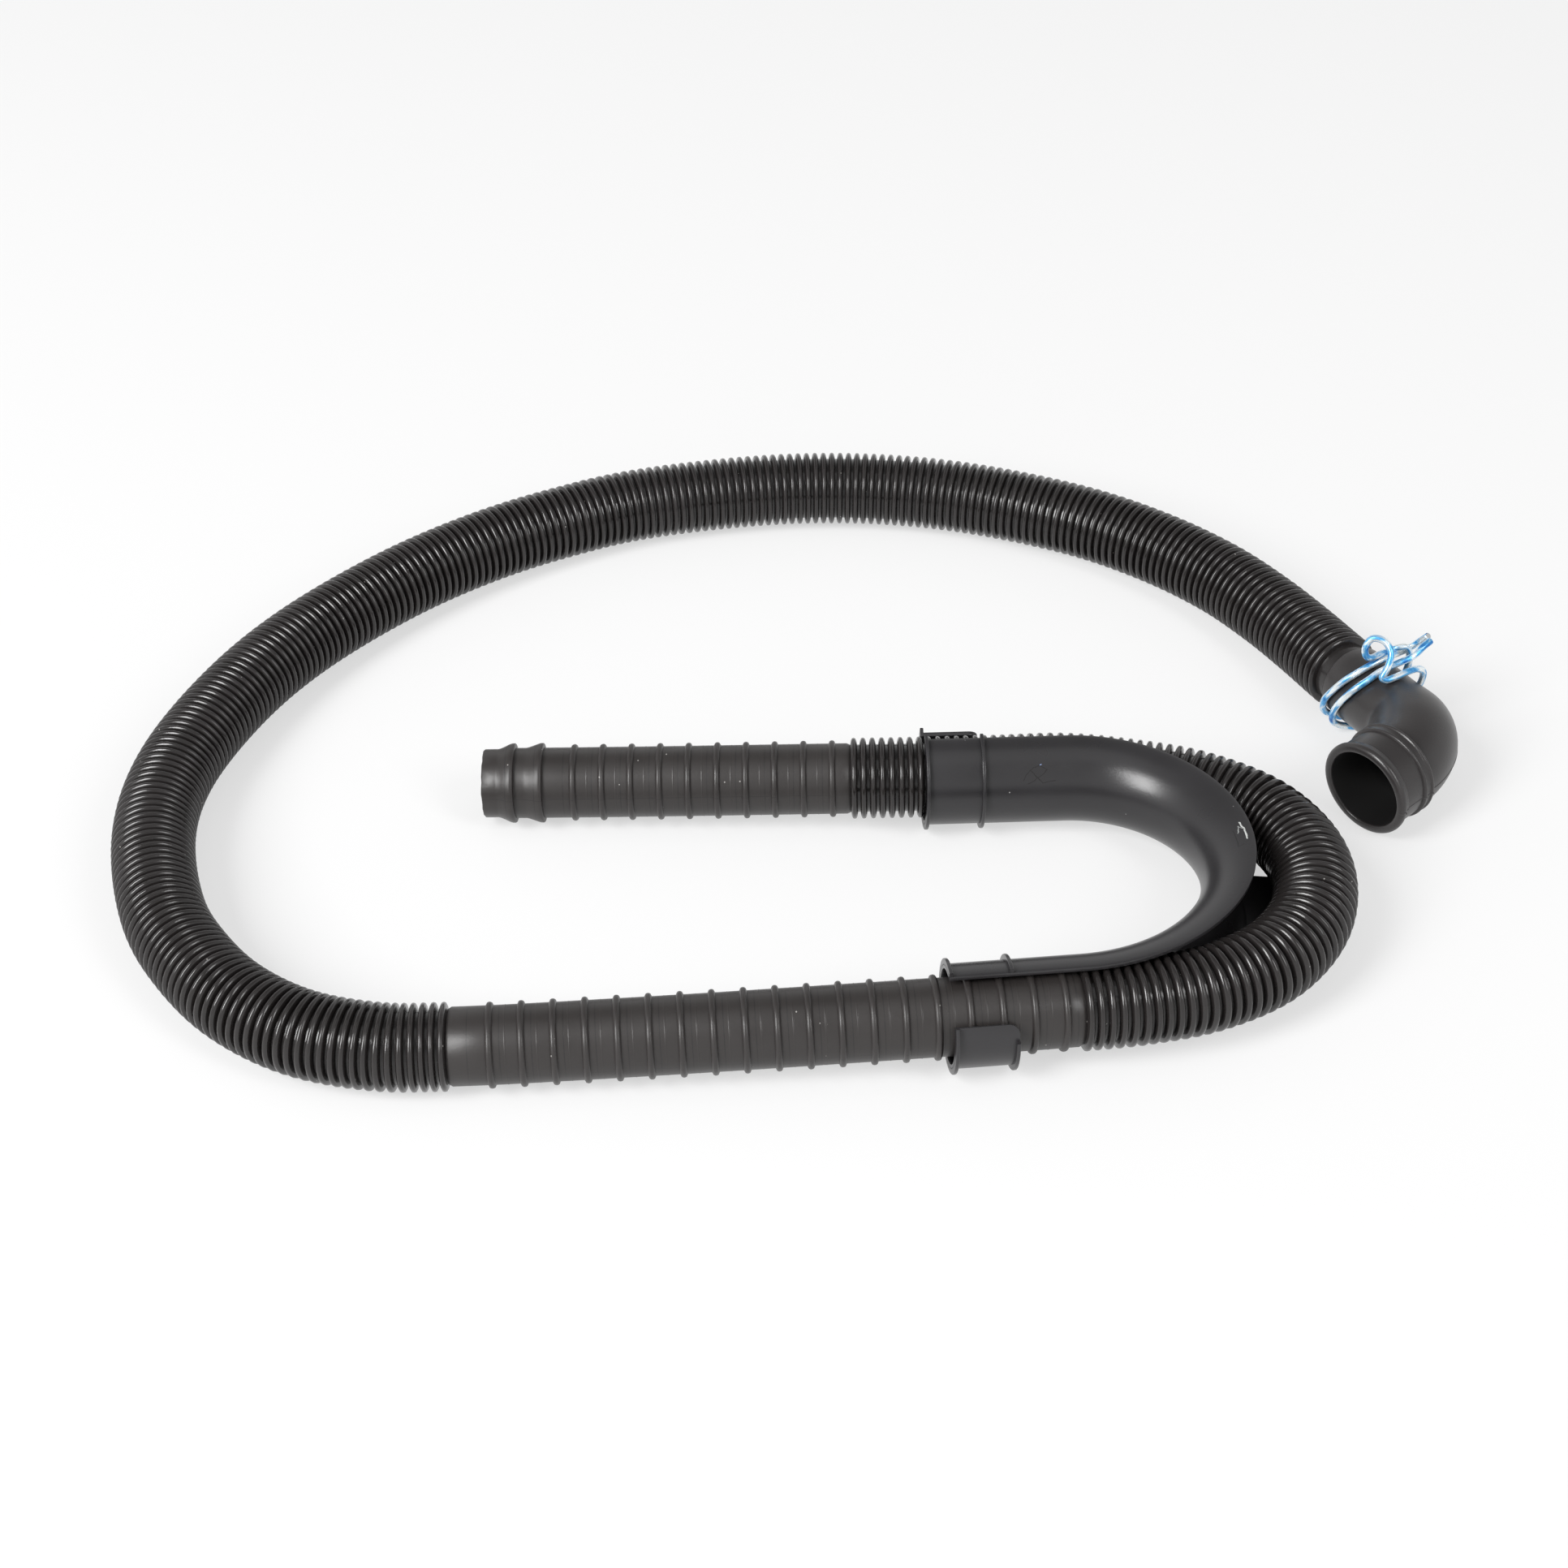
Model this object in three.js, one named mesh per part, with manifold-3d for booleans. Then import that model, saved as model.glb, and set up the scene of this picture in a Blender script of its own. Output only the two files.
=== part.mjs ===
// Corrugated drain hose with its rubber elbow boot, wire clamp and moulded U-bend guide.
// Millimetres, +Z up. The set lies on its side on a flat surface at z = 0.
// Local axes along a route: x to the left of travel, y up, z forward.

import * as THREE from 'three';
import { mergeVertices } from 'three/addons/utils/BufferGeometryUtils.js';
import Module from 'manifold-3d';

// Hose, blow moulded in one piece
const CREST_RADIUS = 16;
const BORE_RADIUS = 12;
const BOOT_CUFF_RADIUS = 13.2;
const BOOT_CUFF_LENGTH = 27;
const MID_CUFF_RADIUS = 14.2;
const MID_CUFF_START = 888;
const MID_CUFF_LENGTH = 228.5;
const MID_RIBS = 19;
const MID_RIB_START = 16;
const FREE_CUFF_RADIUS = 13.9;
const FREE_CUFF_LENGTH = 144.7;
const FREE_RIBS = 10;
const FREE_RIB_START = 36.3;
const RIB_PITCH = 11.3;
const RIB_WIDTH = 2.8;
const RIB_HEIGHT = 1.3;
const BARB_PITCH = 11.7;
const BARB_LENGTH = 5;
const BARB_HEIGHT = 2;
const BARBS = 2;
const BEND_STEP = 10;
const LONGEST_STEP = 30;
const HOSE_SIDES = 12;

// Rubber elbow boot
const FIT_GAP = 0.3;
const SLEEVE_WALL = 1.7;
const SLEEVE_OVERLAP = 22;
const ELBOW_BEND_RADIUS = 28;
const ELBOW_RADIUS = 18.1;
const CUFF_RADIUS = 18.2;
const CUFF_BORE = 15.7;
const BEAD_RADIUS = 19.4;
const BEAD_WIDTH = 1.6;
const BAND_WIDTH = 4.5;
const LIP_RADIUS = 20;
const LIP_WIDTH = 5;
const BOOT_SIDES = 28;
const BOOT_STEP = 5.5;

// Double wire spring clamp
const WIRE_RADIUS = 1.3;
const WIRE_SIDES = 8;
const WIRE_STEPS = 100;

// Moulded guide: a half channel open on its outer side
const CHANNEL_CLEARANCE = 1.25;
const CHANNEL_WALL = 1.6;
const FAR_LEG = 55.5;
const NEAR_LEG = 49.5;
const TIGHT_RADIUS = 63;
const TIGHT_SWEEP = 122.6;
const SLACK_RADIUS = 79;
const SLACK_SWEEP = 53.9;
const COLLAR_LENGTH = 23;
const FINGER_TOP = 30;
const FLANGE_HEIGHT = 2;
const FLANGE_THICKNESS = 2.2;
const SHORT_FLANGE_TOP = 10;
const FINGER_CORNER = 4;
const TAB_REACH = 24;
const TAB_WIDTH = 54;
const TAB_CORNER = 6;
const TAB_STATION = 97.6;
const ARC_STEP = 12;
const CHANNEL_STEPS = 40;

// Where the hose lies: from its end inside the boot, round the loop, through the guide, to its free end
const HOSE_ROUTE = [
  [239.8, 14.0, 20.1],
  [227.6, 39.1, 17.6],
  [214.6, 65.8, 16.1],
  [202.2, 86.4, 16.05],
  [184.5, 110.1, 16.05],
  [158.1, 134.5, 16.05],
  [124.3, 155.7, 16.05],
  [65.3, 176.1, 16.05],
  [4.3, 180.8, 16.05],
  [-67.7, 168.2, 16.05],
  [-103.7, 153.1, 16.05],
  [-136.6, 133.8, 16.05],
  [-171.5, 105.2, 16.05],
  [-208.7, 62.3, 16.05],
  [-231.1, 22.8, 16.05],
  [-246.8, -25.1, 16.05],
  [-248.2, -64.2, 16.05],
  [-236.6, -110.0, 16.05],
  [-223.0, -134.2, 16.05],
  [-203.4, -156.8, 16.05],
  [-177.8, -173.2, 16.05],
  [-149.5, -180.4, 16.05],
  [-125.8, -180.6, 16.05],
  [-58.5, -177.0, 17.3],
  [53.8, -170.2, 20.85],
  [103.2, -165.0, 20.85],
  [124.0, -162.0, 20.8],
  [149.5, -155.0, 20.6],
  [174.5, -140.0, 20.5],
  [191.5, -115.5, 20.4],
  [195.0, -86.5, 20.4],
  [182.5, -59.5, 20.4],
  [158.0, -42.5, 20.6],
  [129.0, -34.5, 20.8],
  [105.6, -31.3, 20.85],
  [79.0, -32.6, 20.85],
  [50.2, -33.8, 20.85],
  [-13.5, -33.2, 18.9],
  [-68.5, -32.5, 17.3],
  [-123.3, -31.9, 16.05],
];

// Sleeve edge, corner of the two straight runs, and centre of the mouth
const BOOT_POINTS = [
  [230.2, 33.7, 18.1],
  [253.5, -14.1, 22.9],
  [222.5, -41.1, 20.05],
];

// Clamp wire, from one free end round the sleeve, through the standing ear and round again
const CLAMP_ROUTE = [
  [256.9, 27.8, 44.7],
  [253.9, 31.6, 38.4],
  [249.0, 31.3, 34.8],
  [242.3, 24.9, 36.8],
  [234.4, 20.2, 36.2],
  [228.1, 17.6, 33.8],
  [223.3, 17.4, 29.9],
  [219.5, 18.7, 24.1],
  [217.2, 21.8, 16.8],
  [218.9, 26.0, 8.1],
  [227.5, 30.0, 1.8],
  [239.3, 33.0, 3.4],
  [248.3, 33.1, 13.4],
  [251.4, 30.4, 27.8],
  [250.9, 29.1, 34.1],
  [249.1, 28.8, 38.2],
  [245.4, 28.6, 38.2],
  [243.6, 28.8, 37.2],
  [240.7, 27.0, 37.3],
  [237.1, 23.0, 39],
  [232.1, 17.6, 41.1],
  [230.1, 16.8, 42.8],
  [229.4, 17.3, 45.7],
  [230.5, 18.0, 48.8],
  [232.2, 18.1, 50.5],
  [236.5, 16.4, 50.3],
  [239.1, 13.1, 46.7],
  [238.1, 10.2, 42.8],
  [236.9, 8.9, 40.5],
  [235.8, 8.0, 38.3],
  [237.5, 7.8, 37.3],
  [240.3, 8.9, 37.4],
  [247.2, 13.4, 37.4],
  [250.8, 16.1, 36.6],
  [253.8, 18.5, 34.6],
  [255.5, 20.6, 31],
  [255.2, 23.9, 21.1],
  [249.5, 24.5, 9.1],
  [238.1, 23.4, 2.4],
  [225.8, 21.2, 3.9],
  [221.8, 19.7, 7],
  [220.3, 15.8, 15.5],
  [222.3, 12.5, 23.7],
  [226.2, 11.1, 30.1],
  [231.6, 11.7, 34.7],
  [235.9, 13.6, 37],
  [243.0, 15.6, 39.8],
  [249.1, 17.9, 41.5],
  [254.8, 22.4, 44],
  [257.4, 24.7, 44.5],
];

const GUIDE_START = [50.2, -33.8];
const GUIDE_HEADING = 2.6;

const { Manifold, Mesh } = await initKernel();
const UP = new THREE.Vector3(0, 0, 1);

async function initKernel() {
  const kernel = await Module();
  kernel.setup();
  return kernel;
}

function radians(degrees) {
  return THREE.MathUtils.degToRad(degrees);
}

function direction(heading, rise = 0) {
  const flat = Math.cos(radians(rise));
  return new THREE.Vector3(
    Math.cos(radians(heading)) * flat,
    Math.sin(radians(heading)) * flat,
    Math.sin(radians(rise)),
  );
}

// A curve with a level frame at each distance along it
class Route {
  constructor(curve) {
    this.curve = curve;
    curve.arcLengthDivisions = 2000;
    curve.updateArcLengths();
    this.length = curve.getLength();
  }

  frame(distance) {
    const share = THREE.MathUtils.clamp(distance / this.length, 0, 1);
    const tangent = this.curve.getTangentAt(share).normalize();
    const left = new THREE.Vector3().crossVectors(UP, tangent).normalize();
    const up = new THREE.Vector3().crossVectors(tangent, left);
    const overrun = distance - share * this.length;
    const point = this.curve.getPointAt(share).addScaledVector(tangent, overrun);
    return { point, left, up, tangent };
  }
}

// Bends a geometry that stands along its own z axis onto a route
function layAlong(geometry, route, start = 0) {
  const position = geometry.attributes.position;
  const vertex = new THREE.Vector3();
  for (let i = 0; i < position.count; i += 1) {
    vertex.fromBufferAttribute(position, i);
    const { point, left, up } = route.frame(start + vertex.z);
    point.addScaledVector(left, vertex.x).addScaledVector(up, vertex.y);
    position.setXYZ(i, point.x, point.y, point.z);
  }
  return geometry;
}

// Positions only, welded, with its faces turned outwards
function closed(geometry) {
  const bare = new THREE.BufferGeometry();
  bare.setAttribute('position', geometry.attributes.position.clone());
  bare.setIndex(geometry.index ? geometry.index.clone() : null);
  const welded = mergeVertices(bare, 1e-3);
  const position = welded.attributes.position;
  const index = welded.index.array;
  const [a, b, c] = [new THREE.Vector3(), new THREE.Vector3(), new THREE.Vector3()];
  const kept = [];
  let volume = 0;
  for (let i = 0; i < index.length; i += 3) {
    const [p, q, r] = index.slice(i, i + 3);
    if (p === q || q === r || r === p) continue;
    kept.push([p, q, r]);
    a.fromBufferAttribute(position, p);
    b.fromBufferAttribute(position, q);
    c.fromBufferAttribute(position, r);
    volume += a.dot(b.cross(c));
  }
  welded.setIndex(kept.flatMap((face) => (volume < 0 ? face.reverse() : face)));
  return welded;
}

function toManifold(geometry) {
  const welded = closed(geometry);
  return new Manifold(
    new Mesh({
      numProp: 3,
      vertProperties: new Float32Array(welded.attributes.position.array),
      triVerts: new Uint32Array(welded.index.array),
    }),
  );
}

function fromManifold(manifold) {
  const mesh = manifold.getMesh();
  const geometry = new THREE.BufferGeometry();
  geometry.setAttribute('position', new THREE.BufferAttribute(mesh.vertProperties, 3));
  geometry.setIndex(new THREE.BufferAttribute(mesh.triVerts, 1));
  return closed(geometry);
}

// Turns an outline of [distance, radius] pairs about the z axis
function revolve(outline, sides) {
  const points = outline.map(([distance, radius]) => new THREE.Vector2(radius, distance));
  points.push(points[0].clone());
  return new THREE.LatheGeometry(points, sides).rotateX(Math.PI / 2);
}

function extrude(shape, depth, steps = 1) {
  return new THREE.ExtrudeGeometry(shape, { depth, steps, bevelEnabled: false, curveSegments: 8 });
}

// Part of a ring between two radii, from one angle to another, degrees from the outer side
function ringSector(inner, outer, from, to) {
  const count = Math.ceil((to - from) / ARC_STEP);
  const at = (radius, i) => {
    const angle = radians(from + ((to - from) * i) / count);
    return new THREE.Vector2(radius * Math.cos(angle), radius * Math.sin(angle));
  };
  const steps = Array.from({ length: count + 1 }, (_, i) => i);
  return new THREE.Shape([
    ...steps.map((i) => at(outer, i)),
    ...steps.reverse().map((i) => at(inner, i)),
  ]);
}

const hoseRoute = new Route(
  new THREE.CatmullRomCurve3(HOSE_ROUTE.map((p) => new THREE.Vector3(...p)), false, 'centripetal'),
);

// Plain stretch between two stations, with a ring wherever the route has turned enough
function plainStretch(from, to, radius) {
  const stretch = [[from, radius]];
  let last = hoseRoute.frame(from).tangent;
  let lastStation = from;
  for (let station = from + 1; station < to - 1; station += 1) {
    const { tangent } = hoseRoute.frame(station);
    const turned = tangent.angleTo(last) > radians(BEND_STEP);
    if (!turned && station - lastStation < LONGEST_STEP) continue;
    stretch.push([station, radius]);
    last = tangent;
    lastStation = station;
  }
  return [...stretch, [to, radius]];
}

function rib(station, root) {
  const half = RIB_WIDTH / 2;
  return [
    [station - half, root],
    [station - half / 2, root + RIB_HEIGHT],
    [station + half / 2, root + RIB_HEIGHT],
    [station + half, root],
  ];
}

// A barb leans towards the free end, so that the hose pushes on and holds
function barb(station, root) {
  return [
    [station - BARB_LENGTH / 4, root],
    [station, root + BARB_HEIGHT],
    [station + BARB_LENGTH, root],
  ];
}

// Outer profile, ribs and barbs of the hose, and its bore
function hoseOutline() {
  const { length } = hoseRoute;
  const midEnd = MID_CUFF_START + MID_CUFF_LENGTH;
  const freeStart = length - FREE_CUFF_LENGTH;
  const outline = [
    [0, BOOT_CUFF_RADIUS],
    [BOOT_CUFF_LENGTH, BOOT_CUFF_RADIUS],
    ...plainStretch(BOOT_CUFF_LENGTH + 1, MID_CUFF_START, CREST_RADIUS),
    [MID_CUFF_START + 1, MID_CUFF_RADIUS],
  ];
  for (let i = 0; i < MID_RIBS; i += 1) {
    outline.push(...rib(MID_CUFF_START + MID_RIB_START + i * RIB_PITCH, MID_CUFF_RADIUS));
  }
  outline.push([midEnd - 1, MID_CUFF_RADIUS]);
  outline.push(...plainStretch(midEnd, freeStart, CREST_RADIUS));
  outline.push([freeStart + 1, FREE_CUFF_RADIUS]);
  for (let i = FREE_RIBS - 1; i >= 0; i -= 1) {
    outline.push(...rib(length - FREE_RIB_START - i * RIB_PITCH, FREE_CUFF_RADIUS));
  }
  for (let i = BARBS; i > 0; i -= 1) {
    outline.push(...barb(length - i * BARB_PITCH, FREE_CUFF_RADIUS));
  }
  outline.push([length, FREE_CUFF_RADIUS]);
  return [...outline, ...plainStretch(0, length, BORE_RADIUS).reverse()];
}

function makeHose() {
  return closed(layAlong(revolve(hoseOutline(), HOSE_SIDES), hoseRoute));
}

// The boot runs straight over the hose end, turns, and ends in a straight mouth
function bootCurve() {
  const [start, corner, mouth] = BOOT_POINTS.map((p) => new THREE.Vector3(...p));
  const entry = corner.clone().sub(start).normalize();
  const exit = mouth.clone().sub(corner).normalize();
  const turn = entry.angleTo(exit);
  const reach = ELBOW_BEND_RADIUS * Math.tan(turn / 2);
  const handle = (4 / 3) * Math.tan(turn / 4) * ELBOW_BEND_RADIUS;
  const bendStart = corner.clone().addScaledVector(entry, -reach);
  const bendEnd = corner.clone().addScaledVector(exit, reach);
  const path = new THREE.CurvePath();
  path.add(new THREE.LineCurve3(start, bendStart));
  path.add(
    new THREE.CubicBezierCurve3(
      bendStart,
      bendStart.clone().addScaledVector(entry, handle),
      bendEnd.clone().addScaledVector(exit, -handle),
      bendEnd,
    ),
  );
  path.add(new THREE.LineCurve3(bendEnd, mouth));
  return path;
}

const bootRoute = new Route(bootCurve());

function bead(station, root) {
  return [
    [station - BEAD_WIDTH / 2, root],
    [station - BEAD_WIDTH / 4, BEAD_RADIUS],
    [station + BEAD_WIDTH / 4, BEAD_RADIUS],
    [station + BEAD_WIDTH / 2, root],
  ];
}

// Sleeve, swelling elbow, beaded band, plain cuff and thick rounded lip
function bootOutline() {
  const end = bootRoute.length;
  const sleeveEnd = bootRoute.curve.curves[0].getLength();
  const cuffStart = end - bootRoute.curve.curves[2].getLength();
  const lipStart = end - LIP_WIDTH;
  const sleeveBore = BOOT_CUFF_RADIUS + FIT_GAP;
  const sleeveRadius = sleeveBore + SLEEVE_WALL;
  const swell = new THREE.CatmullRomCurve3([
    new THREE.Vector3(sleeveEnd - 3, sleeveRadius, 0),
    new THREE.Vector3((3 * sleeveEnd + cuffStart) / 4, (sleeveRadius + 2 * ELBOW_RADIUS) / 3, 0),
    new THREE.Vector3((sleeveEnd + cuffStart) / 2, ELBOW_RADIUS, 0),
    new THREE.Vector3(cuffStart - BEAD_WIDTH / 2, CUFF_RADIUS, 0),
  ]).getPoints(9);
  const lipEdge = LIP_WIDTH / 4;
  return [
    [0, sleeveBore + SLEEVE_WALL / 2],
    [SLEEVE_WALL, sleeveRadius],
    ...swell.map((p) => [p.x, p.y]),
    ...bead(cuffStart + BEAD_WIDTH / 2, CUFF_RADIUS).slice(1),
    ...bead(cuffStart + BAND_WIDTH, CUFF_RADIUS),
    ...bead(lipStart - BEAD_WIDTH, CUFF_RADIUS),
    [lipStart, LIP_RADIUS - lipEdge / 2],
    [lipStart + lipEdge, LIP_RADIUS],
    [end - lipEdge, LIP_RADIUS],
    [end, LIP_RADIUS - lipEdge],
    [end, CUFF_BORE + lipEdge],
    [end - lipEdge, CUFF_BORE],
    [cuffStart, CUFF_BORE],
    [(sleeveEnd + cuffStart) / 2, (CUFF_BORE + sleeveBore) / 2],
    [SLEEVE_OVERLAP + FIT_GAP, sleeveBore],
    [0, sleeveBore],
  ];
}

function makeBoot() {
  const outline = [];
  for (const [distance, radius] of bootOutline()) {
    const last = outline.at(-1);
    // Long runs get rings of their own where the boot bends
    const gap = last ? distance - last[0] : 0;
    const cuts = Math.floor(Math.abs(gap) / BOOT_STEP);
    for (let i = 1; i < cuts; i += 1) {
      const share = i / cuts;
      outline.push([last[0] + gap * share, last[1] + (radius - last[1]) * share]);
    }
    outline.push([distance, radius]);
  }
  return closed(layAlong(revolve(outline, BOOT_SIDES), bootRoute));
}

// One wire, bent double: a closed ear on top, two turns round the sleeve, two ends side by side
function makeClamp() {
  const curve = new THREE.CatmullRomCurve3(
    CLAMP_ROUTE.map((p) => new THREE.Vector3(...p)),
    false,
    'centripetal',
  );
  const wire = new THREE.Shape(
    Array.from({ length: WIRE_SIDES }, (_, i) => {
      const angle = (2 * Math.PI * i) / WIRE_SIDES;
      return new THREE.Vector2(WIRE_RADIUS * Math.cos(angle), WIRE_RADIUS * Math.sin(angle));
    }),
  );
  return closed(new THREE.ExtrudeGeometry(wire, { steps: WIRE_STEPS, extrudePath: curve }));
}

// Far leg, tight bend, slack bend and near leg, all in one level plane
function guideCurve(height) {
  const path = new THREE.CurvePath();
  let heading = GUIDE_HEADING;
  let point = new THREE.Vector3(...GUIDE_START, height);
  const leg = (length) => {
    const end = point.clone().addScaledVector(direction(heading), length);
    path.add(new THREE.LineCurve3(point, end));
    point = end;
  };
  const bend = (radius, sweep) => {
    const parts = Math.ceil(sweep / 30);
    const turn = sweep / parts;
    const chord = 2 * radius * Math.sin(radians(turn / 2));
    const handle = (4 / 3) * Math.tan(radians(turn / 4)) * radius;
    for (let i = 0; i < parts; i += 1) {
      const end = point.clone().addScaledVector(direction(heading - turn / 2), chord);
      const leave = point.clone().addScaledVector(direction(heading), handle);
      const arrive = end.clone().addScaledVector(direction(heading - turn), -handle);
      path.add(new THREE.CubicBezierCurve3(point, leave, arrive, end));
      heading -= turn;
      point = end;
    }
  };
  leg(FAR_LEG);
  bend(TIGHT_RADIUS, TIGHT_SWEEP);
  bend(SLACK_RADIUS, SLACK_SWEEP);
  leg(NEAR_LEG);
  return path;
}

function makeGuide() {
  const inner = CREST_RADIUS + CHANNEL_CLEARANCE;
  const outer = inner + CHANNEL_WALL;
  const bed = (inner + outer) / 2;
  const height = outer + FLANGE_HEIGHT;
  const route = new Route(guideCurve(height));
  const { length } = route;
  const place = (shape, start, depth, steps = 1) =>
    toManifold(layAlong(extrude(shape, depth, steps), route, start));

  const pieces = [place(ringSector(inner, outer, 90, 270), 0, length, CHANNEL_STEPS)];
  const ends = [
    { end: 0, near: COLLAR_LENGTH - FLANGE_THICKNESS, finger: 0, corner: COLLAR_LENGTH },
    {
      end: length - FLANGE_THICKNESS,
      near: length - COLLAR_LENGTH,
      finger: length - COLLAR_LENGTH,
      corner: length - COLLAR_LENGTH,
    },
  ];
  for (const { end, near, finger, corner } of ends) {
    // Snap finger up the outer side, its free corner rounded off
    const blade = place(ringSector(inner, outer, 260, 360 + FINGER_TOP), finger, COLLAR_LENGTH);
    const notch = new THREE.Shape();
    const size = FINGER_CORNER;
    notch.moveTo(1, 1);
    notch.lineTo(1, -size);
    notch.lineTo(0, -size);
    notch.absarc(-size, -size, size, 0, Math.PI / 2, false);
    notch.lineTo(-size, 1);
    notch.closePath();
    const away = corner === COLLAR_LENGTH ? 1 : -1;
    const cutter = extrude(notch, outer)
      .rotateY(Math.PI / 2)
      .scale(1, 1, -1)
      .translate(0, outer * Math.sin(radians(FINGER_TOP)), 0)
      .scale(1, 1, away);
    pieces.push(blade.subtract(toManifold(layAlong(cutter, route, corner))));
    // End flange right round the collar, and a shorter one at its other end
    const tall = ringSector(bed, outer + FLANGE_HEIGHT, 90, 360 + FINGER_TOP);
    const short = ringSector(bed, outer + FLANGE_HEIGHT, 90, 360 + SHORT_FLANGE_TOP);
    pieces.push(place(tall, end, FLANGE_THICKNESS), place(short, near, FLANGE_THICKNESS));
  }

  // Flat tab under the hose where it swings wide of the bend
  const root = TIGHT_RADIUS - CHANNEL_WALL;
  const swing = Math.asin(TAB_WIDTH / 2 / root);
  const half = TAB_WIDTH / 2;
  const tab = new THREE.Shape();
  tab.absarc(-TIGHT_RADIUS, 0, root, -swing, swing, false);
  tab.lineTo(TAB_REACH - TAB_CORNER, half);
  tab.absarc(TAB_REACH - TAB_CORNER, half - TAB_CORNER, TAB_CORNER, Math.PI / 2, 0, true);
  tab.absarc(TAB_REACH - TAB_CORNER, TAB_CORNER - half, TAB_CORNER, 0, -Math.PI / 2, true);
  tab.closePath();
  const seat = route.frame(FAR_LEG + radians(TAB_STATION) * TIGHT_RADIUS);
  const basis = new THREE.Matrix4().makeBasis(
    seat.left,
    new THREE.Vector3().crossVectors(UP, seat.left),
    UP,
  );
  const shelf = extrude(tab, CHANNEL_WALL)
    .applyMatrix4(basis)
    .translate(seat.point.x, seat.point.y, FLANGE_HEIGHT);
  pieces.push(toManifold(shelf));
  return fromManifold(Manifold.union(pieces));
}

const finishes = {
  hosePlastic: new THREE.MeshStandardMaterial({ color: 0x2c2a29, roughness: 0.38, metalness: 0 }),
  guidePlastic: new THREE.MeshStandardMaterial({ color: 0x333132, roughness: 0.45, metalness: 0 }),
  bootRubber: new THREE.MeshStandardMaterial({ color: 0x343232, roughness: 0.72, metalness: 0 }),
  clampWire: new THREE.MeshStandardMaterial({ color: 0x9db6cc, roughness: 0.32, metalness: 0.9 }),
};

function part(name, geometry, material) {
  const mesh = new THREE.Mesh(geometry, material);
  mesh.name = name;
  return mesh;
}

const drainHose = new THREE.Group();
drainHose.add(
  part('drain_hose', makeHose(), finishes.hosePlastic),
  part('elbow_boot', makeBoot(), finishes.bootRubber),
  part('hose_clamp', makeClamp(), finishes.clampWire),
  part('hose_guide', makeGuide(), finishes.guidePlastic),
);

export default drainHose;
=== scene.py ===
import math

import bpy
import numpy as np
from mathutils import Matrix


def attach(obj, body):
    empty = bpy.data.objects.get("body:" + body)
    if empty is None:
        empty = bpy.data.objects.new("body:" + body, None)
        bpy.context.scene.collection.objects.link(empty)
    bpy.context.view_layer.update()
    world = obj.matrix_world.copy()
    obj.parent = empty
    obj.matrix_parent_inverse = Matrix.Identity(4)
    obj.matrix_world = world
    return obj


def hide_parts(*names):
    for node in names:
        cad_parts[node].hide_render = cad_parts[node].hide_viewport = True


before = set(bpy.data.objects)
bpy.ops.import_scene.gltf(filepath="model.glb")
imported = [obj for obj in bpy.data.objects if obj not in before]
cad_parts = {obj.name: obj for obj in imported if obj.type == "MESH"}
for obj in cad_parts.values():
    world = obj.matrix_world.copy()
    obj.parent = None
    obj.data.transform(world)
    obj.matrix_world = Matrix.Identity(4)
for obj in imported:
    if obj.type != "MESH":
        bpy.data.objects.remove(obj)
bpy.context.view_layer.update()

# Camera
# The photograph was taken with a long lens from 39 degrees above the table, square to the loop.
# Its frame is square, 1932 pixels on a side.
CAMERA_PLACE = (-0.0045, -0.90558, 0.7232)
CAMERA_AIM = (-0.0045, -0.0125, 0.0)
LENS = 65.22

camera = bpy.data.objects.new("camera", bpy.data.cameras.new("camera"))
bpy.context.scene.collection.objects.link(camera)
camera.location = CAMERA_PLACE
reach = np.subtract(CAMERA_AIM, CAMERA_PLACE)
camera.rotation_euler = (math.atan2(math.hypot(reach[0], reach[1]), -reach[2]), 0, 0)
camera.data.lens = LENS
camera.data.sensor_width = 36
camera.data.clip_start = 0.05
camera.data.clip_end = 30
bpy.context.scene.camera = camera

# Corrugated hose
# One blow-moulded length of black polypropylene, a tube drawn out of an extruder and blown into
# a travelling chain of half moulds, which leaves the rings, the plain ribbed cuffs and the barbs.
MM = 0.001
HOSE_ROUTE = [
    (0.2398, 0.014, 0.0201), (0.2276, 0.0391, 0.0176), (0.2146, 0.0658, 0.0161),
    (0.2022, 0.0864, 0.01605), (0.1845, 0.1101, 0.01605), (0.1581, 0.1345, 0.01605),
    (0.1243, 0.1557, 0.01605), (0.0653, 0.1761, 0.01605), (0.0043, 0.1808, 0.01605),
    (-0.0677, 0.1682, 0.01605), (-0.1037, 0.1531, 0.01605), (-0.1366, 0.1338, 0.01605),
    (-0.1715, 0.1052, 0.01605), (-0.2087, 0.0623, 0.01605), (-0.2311, 0.0228, 0.01605),
    (-0.2468, -0.0251, 0.01605), (-0.2482, -0.0642, 0.01605), (-0.2366, -0.11, 0.01605),
    (-0.223, -0.1342, 0.01605), (-0.2034, -0.1568, 0.01605), (-0.1778, -0.1732, 0.01605),
    (-0.1495, -0.1804, 0.01605), (-0.1258, -0.1806, 0.01605), (-0.0585, -0.177, 0.0173),
    (0.0538, -0.1702, 0.02085), (0.1032, -0.165, 0.02085), (0.124, -0.162, 0.0208),
    (0.1495, -0.155, 0.0206), (0.1745, -0.14, 0.0205), (0.1915, -0.1155, 0.0204),
    (0.195, -0.0865, 0.0204), (0.1825, -0.0595, 0.0204), (0.158, -0.0425, 0.0206),
    (0.129, -0.0345, 0.0208), (0.1056, -0.0313, 0.02085), (0.079, -0.0326, 0.02085),
    (0.0502, -0.0338, 0.02085), (-0.0135, -0.0332, 0.0189), (-0.0685, -0.0325, 0.0173),
    (-0.1233, -0.0319, 0.01605),
]
HOSE_SIDES = 36
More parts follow.
